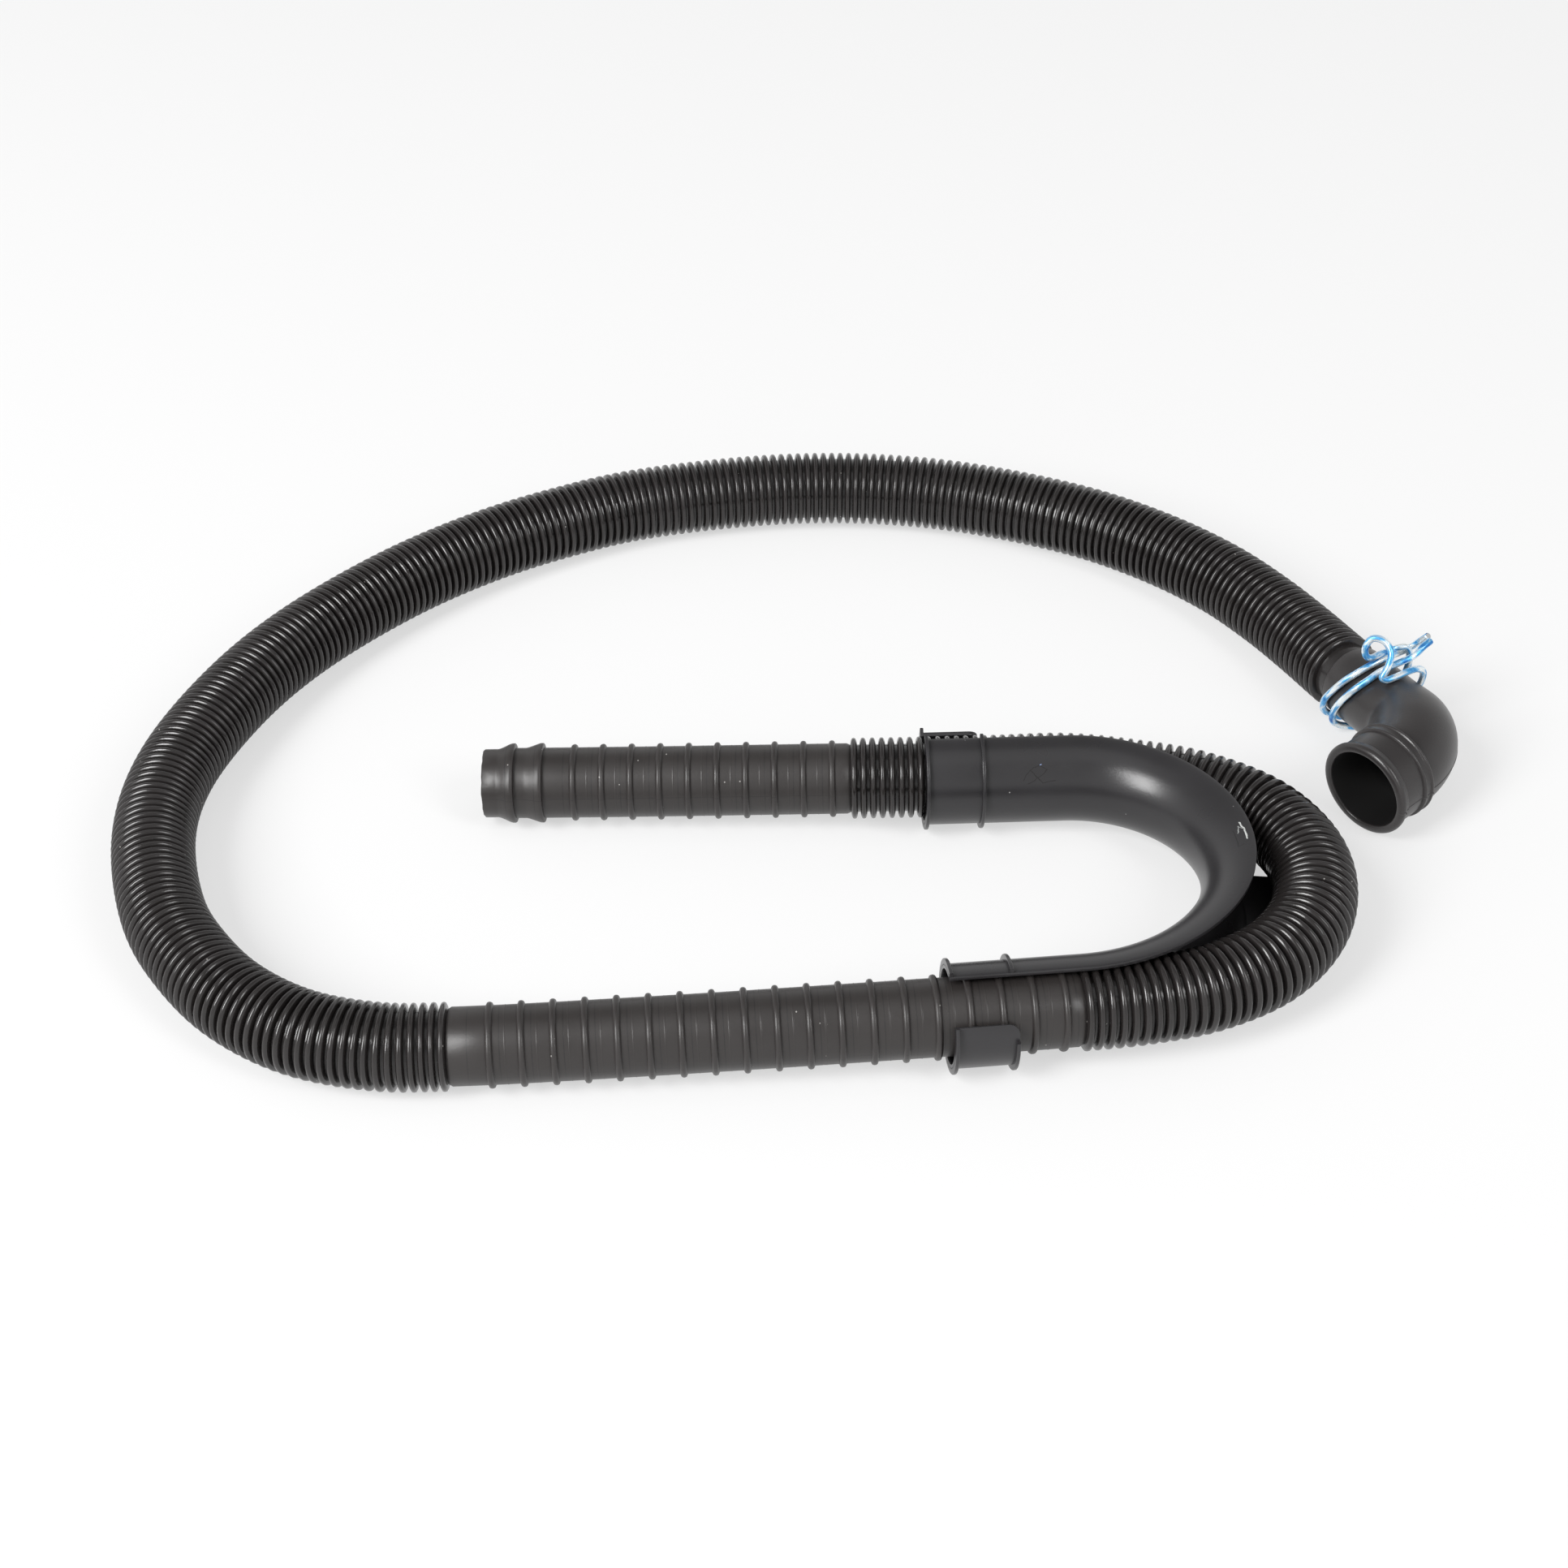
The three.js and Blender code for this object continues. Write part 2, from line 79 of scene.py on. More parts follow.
CREST_RADIUS = 16.0 * MM
ROOT_RADIUS = 13.3 * MM
HOSE_BORE = 12.0 * MM
BORE_RINGS = 36
BOOT_CUFF_END = 27 * MM
BOOT_CUFF_RADIUS = 13.2 * MM
MID_CUFF_START = 890.5 * MM
MID_CUFF_END = 1115 * MM
MID_CUFF_RADIUS = 14.2 * MM
MID_RIBS = 19
MID_RIB_START = 14.7 * MM
CUFF_STEP = 1 * MM
FREE_CUFF_LENGTH = 144.7 * MM
FREE_CUFF_RADIUS = 13.9 * MM
FREE_RIBS = 10
FREE_RIB_START = 36.3 * MM
RIB_PITCH = 11.3 * MM
RIB_WIDTH = 2.7 * MM
RIB_HEIGHT = 1.25 * MM
SEAM_WIDTH = 0.4 * MM
SEAM_HEIGHT = 0.1 * MM
FIRST_BARB = 12.1 * MM
BARB_PITCH = 11.2 * MM
BARB_HEIGHT = 1.85 * MM
BARBS = 2
TIP_RADIUS = 13.5 * MM
SAW_WANDER = 0.09 * MM
SAW_SHORT = 0.6 * MM
SHARP = math.radians(58)


def smooth_route(points, steps=60):
    """The smooth line through a list of points: between two of them it is a cubic whose speed at
    each end follows the square roots of the gaps to the neighbours. Gives close points."""
    points = np.asarray(points, float)
    ends = (2 * points[:1] - points[1:2], 2 * points[-1:] - points[-2:-1])
    all_points = np.concatenate([ends[0], points, ends[1]])
    before, start, end, after = (all_points[i : len(all_points) - 3 + i] for i in range(4))

    def gap(a, b):
        return np.linalg.norm(b - a, axis=1)[:, None] ** 0.5

    g0, g1, g2 = gap(before, start), gap(start, end), gap(end, after)
    leave = ((start - before) / g0 - (end - before) / (g0 + g1) + (end - start) / g1) * g1
    arrive = ((end - start) / g1 - (after - start) / (g1 + g2) + (after - end) / g2) * g1
    t = np.linspace(0, 1, steps, endpoint=False)[None, :, None]
    start, end, leave, arrive = (v[:, None, :] for v in (start, end, leave, arrive))
    line = start + leave * t + (3 * (end - start) - 2 * leave - arrive) * t**2
    line = line + (2 * (start - end) + leave + arrive) * t**3
    return np.concatenate([line.reshape(-1, 3), points[-1:]])


def along(line, stations):
    """The place, left, up and forward directions at distances along a line of close points. Left
    is level, and up is square to both left and forward. Past the ends it runs on straight."""
    steps = np.diff(line, axis=0)
    lengths = np.linalg.norm(steps, axis=1)
    walked = np.concatenate([[0], np.cumsum(lengths)])
    middles = (walked[1:] + walked[:-1]) / 2
    stations = np.asarray(stations, float)
    held = np.clip(stations, 0, walked[-1])
    place = np.stack([np.interp(held, walked, line[:, i]) for i in range(3)], axis=-1)
    heading = steps / lengths[:, None]
    forward = np.stack([np.interp(held, middles, heading[:, i]) for i in range(3)], axis=-1)
    forward /= np.linalg.norm(forward, axis=-1, keepdims=True)
    left = np.cross((0.0, 0.0, 1.0), forward)
    left /= np.linalg.norm(left, axis=-1, keepdims=True)
    up = np.cross(forward, left)
    return place + (stations - held)[:, None] * forward, left, up, forward


def tube(line, stations, radii, turns, slide=0.0):
    """A tube whose point at each station along the line, and at each turn round it, is
    place + radius * (cos(turn) * left + sin(turn) * up) + slide * forward. The profile runs back
    inside as a bore, and its last ring joins its first. Gives points, faces, and UVs in turns
    and metres."""
    place, left, up, forward = along(line, stations)
    turns = np.asarray(turns)
    angle = 2 * np.pi * turns[None, :, None]
    ring = np.cos(angle) * left[:, None, :] + np.sin(angle) * up[:, None, :]
    radii = np.broadcast_to(np.atleast_2d(np.asarray(radii).T).T, ring.shape[:2])
    slide = np.broadcast_to(slide, ring.shape[:2])
    points = place[:, None, :] + radii[:, :, None] * ring
    points = points + slide[:, :, None] * forward[:, None, :]
    rings, sides = len(stations), len(turns)
    i = np.arange(rings)[:, None]
    j = np.arange(sides)[None, :]
    below, above = i * sides, ((i + 1) % rings) * sides
    after = (j + 1) % sides
    faces = np.stack([below + j, below + after, above + after, above + j], axis=-1)
    ends = np.append(turns, turns[0] + 1)
    turn = np.stack([ends[j], ends[j + 1], ends[j + 1], ends[j]], axis=-1) + 0 * i[:, :, None]
    low, high = np.asarray(stations)[i], np.asarray(stations)[(i + 1) % rings]
    run = np.stack([low, low, high, high], axis=-1) + 0 * j[:, :, None]
    uv = np.stack([turn, run], axis=-1)
    return points.reshape(-1, 3), faces.reshape(-1, 4).tolist(), uv.reshape(-1, 2)


def surface(name, points, faces, uv=None):
    """A new smooth piece from its points, its faces and one UV pair for each face corner."""
    mesh = bpy.data.meshes.new(name)
    mesh.from_pydata(points.tolist(), [], faces)
    mesh.update()
    if uv is not None:
        layer = mesh.uv_layers.new(name="UVMap")
        layer.data.foreach_set("uv", np.asarray(uv, np.float32).ravel())
    mesh.shade_smooth()
    piece = bpy.data.objects.new(name, mesh)
    bpy.context.scene.collection.objects.link(piece)
    return piece


def linear(code):
    """An sRGB hex colour as the linear numbers that a shader takes."""
    srgb = np.array([int(code[i : i + 2], 16) for i in (1, 3, 5)]) / 255
    low, high = srgb / 12.92, ((srgb + 0.055) / 1.055) ** 2.4
    return (*np.where(srgb <= 0.04045, low, high), 1.0)


def add_node(owner, kind, settings=None, **links):
    """One node of a material or world, with its settings and its inputs. An input is a value, or
    another node's output socket. It is named with underscores for spaces, or as _ and its
    number."""
    node = owner.node_tree.nodes.new(kind)
    for key, value in (settings or {}).items():
        setattr(node, key, value)
    for key, value in links.items():
        key = int(key[1:]) if key[0] == "_" else key.replace("_", " ")
        if isinstance(value, bpy.types.NodeSocket):
            owner.node_tree.links.new(value, node.inputs[key])
        else:
            node.inputs[key].default_value = value
    return node


def new_material(name):
    """An empty material and its output node."""
    material = bpy.data.materials.new(name)
    material.use_nodes = True
    material.node_tree.nodes.clear()
    return material, material.node_tree.nodes.new("ShaderNodeOutputMaterial")


# Height of the corrugation through one ring of the mould, from 0 in the groove to 1 on the crest:
# a narrow flat groove, steep walls and a round crest
RIPPLE_TURN = [0.12, 0.205, 0.325, 0.5, 0.675, 0.795, 0.88]
RIPPLE_HEIGHT = [0.0, 0.62, 0.93, 1.0, 0.93, 0.62, 0.0]


def corrugations(start, end, pitches):
    """Stations and radii of the rings from one station to another. The pitch drifts between the
    given (station, pitch) pairs, as the hose stretches on the outside of its own coil."""
    at = np.linspace(start, end, 4000)
    pitch = np.interp(at, *zip(*pitches))
    count = np.concatenate([[0], np.cumsum(np.diff(at) / ((pitch[1:] + pitch[:-1]) / 2))])
    rings = round(count[-1])
    phase = (np.arange(rings)[:, None] + np.array(RIPPLE_TURN)[None, :]).ravel()
    stations = np.interp(phase * count[-1] / rings, count, at)
    tall = np.tile(RIPPLE_HEIGHT, rings)
    return stations, ROOT_RADIUS + (CREST_RADIUS - ROOT_RADIUS) * tall


def round_ribs(stations, root, width, height, rings=7):
    """Half-round ribs on a plain cuff: the height follows half an ellipse across the width."""
    across = np.linspace(-1, 1, rings)
    tall = np.sqrt(np.clip(1 - across**2, 0, 1))
    where = np.asarray(stations)[:, None] + across[None, :] * width / 2
    return where.ravel(), np.tile(root + tall * height, len(stations))


def cuff(start, end, root, rib_stations):
    """A plain cuff with its half-round ribs, and a fine seam of the mould midway between them."""
    ribs = round_ribs(rib_stations, root, RIB_WIDTH, RIB_HEIGHT)
    seam_stations = np.asarray(rib_stations)[:-1] + RIB_PITCH / 2
    seams = round_ribs(seam_stations, root, SEAM_WIDTH, SEAM_HEIGHT, rings=3)
    beside = (seam_stations[:, None] + np.array([-SEAM_WIDTH, SEAM_WIDTH])).ravel()
    stations = np.concatenate([[start, end], ribs[0], seams[0], beside])
    radii = np.concatenate([[root, root], ribs[1], seams[1], np.full(len(beside), root)])
    order = np.argsort(stations, kind="stable")
    return stations[order], radii[order]


hose_line = smooth_route(HOSE_ROUTE)
hose_length = np.linalg.norm(np.diff(hose_line, axis=0), axis=1).sum()
free_start = hose_length - FREE_CUFF_LENGTH

mid_ribs = MID_CUFF_START + MID_RIB_START + np.arange(MID_RIBS) * RIB_PITCH
free_ribs = hose_length - FREE_RIB_START - np.arange(FREE_RIBS)[::-1] * RIB_PITCH
LOOP_PITCHES = [(0, 3.75 * MM), (0.3, 3.72 * MM), (0.6, 3.62 * MM), (0.89, 3.62 * MM)]
BEND_PITCHES = [(1.11, 3.94 * MM), (1.2, 3.85 * MM), (1.3, 3.75 * MM), (1.45, 3.66 * MM)]
loop = corrugations(BOOT_CUFF_END + CUFF_STEP, MID_CUFF_START, LOOP_PITCHES)
bend = corrugations(MID_CUFF_END, free_start, BEND_PITCHES)
mid = cuff(MID_CUFF_START + CUFF_STEP, MID_CUFF_END - CUFF_STEP, MID_CUFF_RADIUS, mid_ribs)
free = cuff(free_start + CUFF_STEP, free_ribs[-1] + 4 * MM, FREE_CUFF_RADIUS, free_ribs)

# A barb is steep on the side away from the tip and slopes down towards it from a narrow land
barb_run = np.array([-1.05, -0.9, -0.6, 0.5, 1.6, 3.4, 5.2, 6.2]) * MM
barb_rise = np.array([0.0, 0.86, 1.0, 0.98, 0.8, 0.45, 0.12, 0.0]) * BARB_HEIGHT
barb_crests = hose_length - FIRST_BARB - np.arange(BARBS)[::-1] * BARB_PITCH
barb_stations = (barb_crests[:, None] + barb_run[None, :]).ravel()
barb_radii = np.tile(FREE_CUFF_RADIUS + barb_rise, BARBS)
barb_radii[-3:] += (TIP_RADIUS - FREE_CUFF_RADIUS) * np.array([0.6, 1.0, 1.0])

tip_stations = hose_length - np.array([1.0, 0.3, 0.0]) * MM
tip_radii = TIP_RADIUS - np.array([0.0, 0.05, 0.3]) * MM
bore_stations = np.linspace(hose_length, 0, BORE_RINGS)
hose_stations = np.concatenate(
    [
        [0, BOOT_CUFF_END],
        loop[0],
        mid[0],
        bend[0],
        free[0],
        barb_stations,
        tip_stations,
        bore_stations,
    ]
)
hose_radii = np.concatenate(
    [
        [BOOT_CUFF_RADIUS] * 2,
        loop[1],
        mid[1],
        bend[1],
        free[1],
        barb_radii,
        tip_radii,
        np.full(BORE_RINGS, HOSE_BORE),
    ]
)

# The tip is sawn off by hand, a little short, and its rim wanders by about a tenth of a
# millimetre
hose_turns = np.arange(HOSE_SIDES) / HOSE_SIDES
saw = np.random.default_rng(4).normal(0, SAW_WANDER, HOSE_SIDES)
rim = len(hose_stations) - BORE_RINGS
hose_radii = np.repeat(hose_radii[:, None], HOSE_SIDES, axis=1)
hose_radii[rim - 1] += 0.7 * saw
hose_slide = np.zeros_like(hose_radii)
hose_slide[rim - 2 : rim + 1] = saw - SAW_SHORT
hose_parts = tube(hose_line, hose_stations, hose_radii, hose_turns, hose_slide)
hose = surface("corrugated_hose", *hose_parts)
hose.data.set_sharp_from_angle(angle=SHARP)

# Each ring of a cuff carries its place among the ribs, for the fine lines of the mould inserts.
# It counts up from the first rib, whose number keeps it above 0 on the plain end before. Away
# from the cuffs it is -1.
FIRST_RIB_CELL = 4
cell = np.full(len(hose_stations), -1.0)
outside = np.arange(len(hose_stations)) < rim
in_mid = outside & (hose_stations > MID_CUFF_START) & (hose_stations < MID_CUFF_END)
in_free = outside & (hose_stations > free_start)
cell[in_mid] = (hose_stations[in_mid] - mid_ribs[0]) / RIB_PITCH + FIRST_RIB_CELL
cell[in_free] = (hose_stations[in_free] - free_ribs[0]) / RIB_PITCH + FIRST_RIB_CELL
cell_layer = hose.data.attributes.new("cell", "FLOAT", "POINT")
cell_layer.data.foreach_set("value", np.repeat(cell, HOSE_SIDES).astype(np.float32))

# Polypropylene as blown: near-black, glossy on the rings and satin on the cuffs, which touched
# the mould. It is hazed by handling in patches of about 17 mm, with specks of dust about 8 mm
# apart. The grain is drawn 1 mm coarse, so that it shows.
# An insert's line runs round the cuff at this share of the ribs' pitch, and the parting line
# runs along it at this turn on two opposite sides.
INSERT_LINE = 0.33
INSERT_LINE_WIDTH = 0.014
PARTING_LINE = 0.0305
PARTING_LINE_WIDTH = 0.0012
CUFF_DULLING = 0.19
hose_plastic, output = new_material("blown_polypropylene")
place = add_node(hose_plastic, "ShaderNodeTexCoord").outputs
turns = add_node(hose_plastic, "ShaderNodeSeparateXYZ", Vector=place["UV"]).outputs["X"]
cell = add_node(hose_plastic, "ShaderNodeAttribute", {"attribute_name": "cell"}).outputs["Fac"]
on_cuff = add_node(
    hose_plastic, "ShaderNodeMath", {"operation": "GREATER_THAN"}, _0=cell, _1=0.0
)
within = add_node(hose_plastic, "ShaderNodeMath", {"operation": "FRACT"}, _0=cell)
line_at = add_node(
    hose_plastic,
    "ShaderNodeMath",
    {"operation": "COMPARE"},
    _0=within.outputs[0],
    _1=INSERT_LINE,
    _2=INSERT_LINE_WIDTH,
)
seam_at = add_node(
    hose_plastic, "ShaderNodeMath", {"operation": "MODULO"}, _0=turns, _1=0.5
)
seam_line = add_node(
    hose_plastic,
    "ShaderNodeMath",
    {"operation": "COMPARE"},
    _0=seam_at.outputs[0],
    _1=PARTING_LINE,
    _2=PARTING_LINE_WIDTH,
)
lines = add_node(
    hose_plastic,
    "ShaderNodeMath",
    {"operation": "MAXIMUM"},
    _0=line_at.outputs[0],
    _1=seam_line.outputs[0],
)
moulded = add_node(
    hose_plastic,
    "ShaderNodeMath",
    {"operation": "MULTIPLY"},
    _0=lines.outputs[0],
    _1=on_cuff.outputs[0],
)
haze = add_node(
    hose_plastic, "ShaderNodeTexNoise", Vector=place["Object"], Scale=60.0, Detail=4.0
)
ring_tint = add_node(
    hose_plastic,
    "ShaderNodeMix",
    {"data_type": "RGBA"},
    Factor=haze.outputs["Fac"],
    _6=linear("#1b1918"),
    _7=linear("#272424"),
)
# The cuffs are painted a little lighter than the rings: painted sheen for their broad satin
# highlight, over the same patchy handling haze
cuff_tint_and_painted_sheen = add_node(
    hose_plastic,
    "ShaderNodeMix",
    {"data_type": "RGBA"},
    Factor=haze.outputs["Fac"],
    _6=linear("#242120"),
    _7=linear("#2d2a29"),
)
tint = add_node(
    hose_plastic,
    "ShaderNodeMix",
    {"data_type": "RGBA"},
    Factor=on_cuff.outputs[0],
    _6=ring_tint.outputs[2],
    _7=cuff_tint_and_painted_sheen.outputs[2],
)
lined = add_node(
    hose_plastic,
    "ShaderNodeMix",
    {"data_type": "RGBA"},
    Factor=moulded.outputs[0],
    _6=tint.outputs[2],
    _7=linear("#1c1a1a"),
)
speck = add_node(hose_plastic, "ShaderNodeTexVoronoi", Vector=place["Object"], Scale=120.0)
dusty = add_node(
    hose_plastic,
    "ShaderNodeMapRange",
    Value=speck.outputs["Distance"],
    From_Min=0.042,
    From_Max=0.026,
)
dust = add_node(
    hose_plastic,
    "ShaderNodeMix",
    {"data_type": "RGBA"},
    Factor=dusty.outputs["Result"],
    _6=lined.outputs[2],
    _7=linear("#8f8c89"),
)
ring_gloss = add_node(
    hose_plastic,
    "ShaderNodeMapRange",
    Value=haze.outputs["Fac"],
    From_Min=0.3,
    From_Max=0.7,
    To_Min=0.16,
    To_Max=0.25,
)
gloss = add_node(
    hose_plastic,
    "ShaderNodeMath",
    {"operation": "MULTIPLY_ADD"},
    _0=on_cuff.outputs[0],
    _1=CUFF_DULLING,
    _2=ring_gloss.outputs["Result"],
)
grain = add_node(
    hose_plastic, "ShaderNodeTexNoise", Vector=place["Object"], Scale=900.0, Detail=3.0
)
height = add_node(
    hose_plastic,
    "ShaderNodeMath",
    {"operation": "SUBTRACT"},
    _0=grain.outputs["Fac"],
    _1=moulded.outputs[0],
)
relief = add_node(
    hose_plastic,
    "ShaderNodeBump",
    Strength=0.12,
    Distance=0.0002,
    Height=height.outputs[0],
)
shader = add_node(
    hose_plastic,
    "ShaderNodeBsdfPrincipled",
    Base_Color=dust.outputs[2],
    Roughness=gloss.outputs[0],
    IOR=1.49,
    Normal=relief.outputs["Normal"],
)
hose_plastic.node_tree.links.new(shader.outputs[0], output.inputs["Surface"])
hose.data.materials.append(hose_plastic)

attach(hose, "root")
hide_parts("drain_hose")

# Elbow boot
# A moulded EPDM rubber elbow that joins the hose to the pump outlet. Its sleeve is stretched over
# the plain end of the hose, and its beaded cuff and thick lip take the outlet and its clamp.
BOOT_POINTS = [(0.2302, 0.0337, 0.0181), (0.2535, -0.0141, 0.0229), (0.2225, -0.0411, 0.02005)]
ELBOW_BEND_RADIUS = 28 * MM
ELBOW_RADIUS = 18.1 * MM
SLEEVE_BORE = 13.5 * MM
SLEEVE_RADIUS = 15.2 * MM
CUFF_RADIUS = 18.7 * MM
CUFF_BORE = 16.4 * MM
BEAD_RADIUS = 19.75 * MM
BEAD_WIDTH = 1.4 * MM
BAND_START = 0.8 * MM
BAND_END = 4.6 * MM
BAND_RADIUS = 19.1 * MM
PARTING_TURN = 358 / 360
PARTING_HEIGHT = 0.22 * MM
PARTING_WIDTH = 0.35 * MM
NUB_HEIGHT = 0.7 * MM
LIP_RADIUS = 20 * MM
LIP_WIDTH = 5 * MM
BOOT_SIDES = 72


def bent_line(points, bend_radius, steps=80):
    """Two straight runs joined by a bend: a cubic curve that leaves each run at the distance
    radius * tan(turn / 2) from their corner. Gives close points and the length of each part."""
    start, corner, end = (np.array(p) for p in points)
    entry = (corner - start) / np.linalg.norm(corner - start)
    leave = (end - corner) / np.linalg.norm(end - corner)
    turn = math.acos(float(entry @ leave))
    back = bend_radius * math.tan(turn / 2)
    handle = (4 / 3) * math.tan(turn / 4) * bend_radius
    a, d = corner - entry * back, corner + leave * back
    b, c = a + entry * handle, d - leave * handle
    t = np.linspace(0, 1, steps)[:, None]
    bend = a * (1 - t) ** 3 + 3 * b * t * (1 - t) ** 2 + 3 * c * t**2 * (1 - t) + d * t**3
    first = start + (a - start) * np.linspace(0, 1, 12, endpoint=False)[:, None]
    last = d + (end - d) * np.linspace(0, 1, 12)[1:, None]
    line = np.concatenate([first, bend, last])
    curve = np.linalg.norm(np.diff(bend, axis=0), axis=1).sum()
    return line, np.linalg.norm(a - start), curve, np.linalg.norm(end - d)


def bead(station, root, crest, width, rings=9):
    """A raised bead: its height follows half an ellipse across its width, with a small fillet."""
    across = np.linspace(-1, 1, rings)
    tall = np.sqrt(np.clip(1 - across**2, 0, 1))
    run = np.concatenate([[-1.25], across, [1.25]])
    tall = np.concatenate([[0], tall * 0.94 + 0.06, [0]])
    return station + run * width / 2, root + tall * (crest - root)


boot_line, sleeve_run, bend_run, cuff_run = bent_line(BOOT_POINTS, ELBOW_BEND_RADIUS)
boot_length = sleeve_run + bend_run + cuff_run
cuff_start = boot_length - cuff_run
lip_start = boot_length - LIP_WIDTH

# The boot widens from its sleeve to the full width of the elbow in the first half of its bend
SWELL_RUN = [0, 0.12, 0.3, 0.55, 0.8, 1]
SWELL_RISE = [0, 0.1, 0.62, 1.0, 1.02, 1.03]
swell_run = np.linspace(0, 1, 26)
swell_rise = np.interp(swell_run, SWELL_RUN, SWELL_RISE)
swell_rise = np.convolve(np.pad(swell_rise, 2, mode="edge"), np.ones(5) / 5, mode="valid")
swell_stations = sleeve_run - 3 * MM + swell_run * (bend_run + 1 * MM)
swell_radii = SLEEVE_RADIUS + swell_rise * (ELBOW_RADIUS - SLEEVE_RADIUS)

ridges = [
    bead(cuff_start + BAND_START, BAND_RADIUS, BEAD_RADIUS, BEAD_WIDTH),
    bead(cuff_start + BAND_END, BAND_RADIUS, BEAD_RADIUS, BEAD_WIDTH),
]
ridges[0][1][0] = ELBOW_RADIUS
ridges[1][1][-1] = CUFF_RADIUS

# The lip has a low shoulder behind, a band in front of it and a rounded front edge
lip_run = np.array([0.0, 0.15, 0.5, 1.6, 1.75, 2.0, 2.4, 3.0, 3.7, 4.25, 4.65, 4.9, 5.0]) * MM
lip_rise = [18.75, 19.0, 19.2, 19.2, 19.35, 19.7, 19.92, 20.0, 19.93, 19.65, 19.2, 18.6, 18.0]
lip_rise = np.array(lip_rise) * MM
mouth_run = np.array([5.0, 4.93, 4.75, 4.4, 3.8]) * MM
mouth_rise = np.array([17.5, 17.05, 16.75, 16.5, 16.4]) * MM
sleeve_bore_end = sleeve_run - 2 * MM
inner_run = np.linspace(cuff_start, sleeve_bore_end, 24)
inner_rise = np.interp(inner_run, [sleeve_bore_end, cuff_start], [SLEEVE_BORE, CUFF_BORE])
boot_stations = np.concatenate(
    [
        [0, 0.25 * MM, 0.9 * MM, 6 * MM, 12 * MM, 18 * MM, 24 * MM],
        swell_stations,
        ridges[0][0],
        ridges[1][0],
        lip_start + lip_run,
        lip_start + mouth_run,
        inner_run,
        [0],
    ]
)
boot_radii = np.concatenate(
    [
        [SLEEVE_RADIUS - 0.7 * MM, SLEEVE_RADIUS - 0.25 * MM, SLEEVE_RADIUS - 0.05 * MM],
        [SLEEVE_RADIUS] * 4,
        swell_radii,
        ridges[0][1],
        ridges[1][1],
        lip_rise,
        mouth_rise,
        inner_rise,
        [SLEEVE_BORE],
    ]
)

# The parting line of the mould runs down the side as a fine ridge, with a nub of flash where it
# crosses each bead and the lip. Extra columns of points follow it.
flash_run = np.array([-1.6, -0.8, -0.4, 0.0, 0.4, 0.8, 1.6]) * PARTING_WIDTH
flash_rise = np.array([0.0, 0.0, 0.6, 1.0, 0.6, 0.0, 0.0])
flash_turns = flash_run / (2 * np.pi * ELBOW_RADIUS)
sides = PARTING_TURN + 0.5 / BOOT_SIDES + np.arange(BOOT_SIDES) / BOOT_SIDES
boot_turns = np.concatenate([sides, PARTING_TURN + flash_turns])
flash = np.concatenate([np.zeros(BOOT_SIDES), flash_rise])
order = np.argsort(boot_turns % 1)
boot_turns, flash = (boot_turns % 1)[order], flash[order]
ring_number = np.arange(len(boot_stations))
first_in_bore = len(boot_stations) - len(inner_run) - 1
first_in_mouth = first_in_bore - len(mouth_run)
on_skin = ring_number <= first_in_mouth
on_bead = (boot_radii == BEAD_RADIUS) | (np.abs(boot_radii - LIP_RADIUS) < 1e-6)
flash_height = on_skin * PARTING_HEIGHT + on_bead * (NUB_HEIGHT - PARTING_HEIGHT)
boot_rings = boot_radii[:, None] + flash_height[:, None] * flash[None, :]
boot = surface("rubber_elbow_boot", *tube(boot_line, boot_stations, boot_rings, boot_turns))
boot.data.set_sharp_from_angle(angle=SHARP)

# Moulded EPDM: soft satin charcoal with a faint bloom in patches of about 29 mm, a fine even
# grain, drawn 0.7 mm coarse so that it shows, and specks of dust about 8 mm apart
boot_rubber, output = new_material("moulded_epdm_rubber")
place = add_node(boot_rubber, "ShaderNodeTexCoord").outputs["Object"]
bloom = add_node(boot_rubber, "ShaderNodeTexNoise", Vector=place, Scale=35.0, Detail=5.0)
tint = add_node(
    boot_rubber,
    "ShaderNodeMix",
    {"data_type": "RGBA"},
    Factor=bloom.outputs["Fac"],
    _6=linear("#232121"),
    _7=linear("#2e2b2b"),
)
speck = add_node(boot_rubber, "ShaderNodeTexVoronoi", Vector=place, Scale=130.0)
dusty = add_node(
    boot_rubber,
    "ShaderNodeMapRange",
    Value=speck.outputs["Distance"],
    From_Min=0.045,
    From_Max=0.03,
)
dust = add_node(
    boot_rubber,
    "ShaderNodeMix",
    {"data_type": "RGBA"},
    Factor=dusty.outputs["Result"],
    _6=tint.outputs[2],
    _7=linear("#a7a5a4"),
)
gloss = add_node(
    boot_rubber,
    "ShaderNodeMapRange",
    Value=bloom.outputs["Fac"],
    From_Min=0.3,
    From_Max=0.7,
    To_Min=0.28,
    To_Max=0.37,
)
grain = add_node(boot_rubber, "ShaderNodeTexNoise", Vector=place, Scale=1400.0, Detail=4.0)
relief = add_node(
    boot_rubber,
    "ShaderNodeBump",
    Strength=0.2,
    Distance=0.0002,
    Height=grain.outputs["Fac"],
)
shader = add_node(
    boot_rubber,
    "ShaderNodeBsdfPrincipled",
    Base_Color=dust.outputs[2],
    Roughness=gloss.outputs["Result"],
    IOR=1.5,
    Normal=relief.outputs["Normal"],
)
boot_rubber.node_tree.links.new(shader.outputs[0], output.inputs["Surface"])
boot.data.materials.append(boot_rubber)

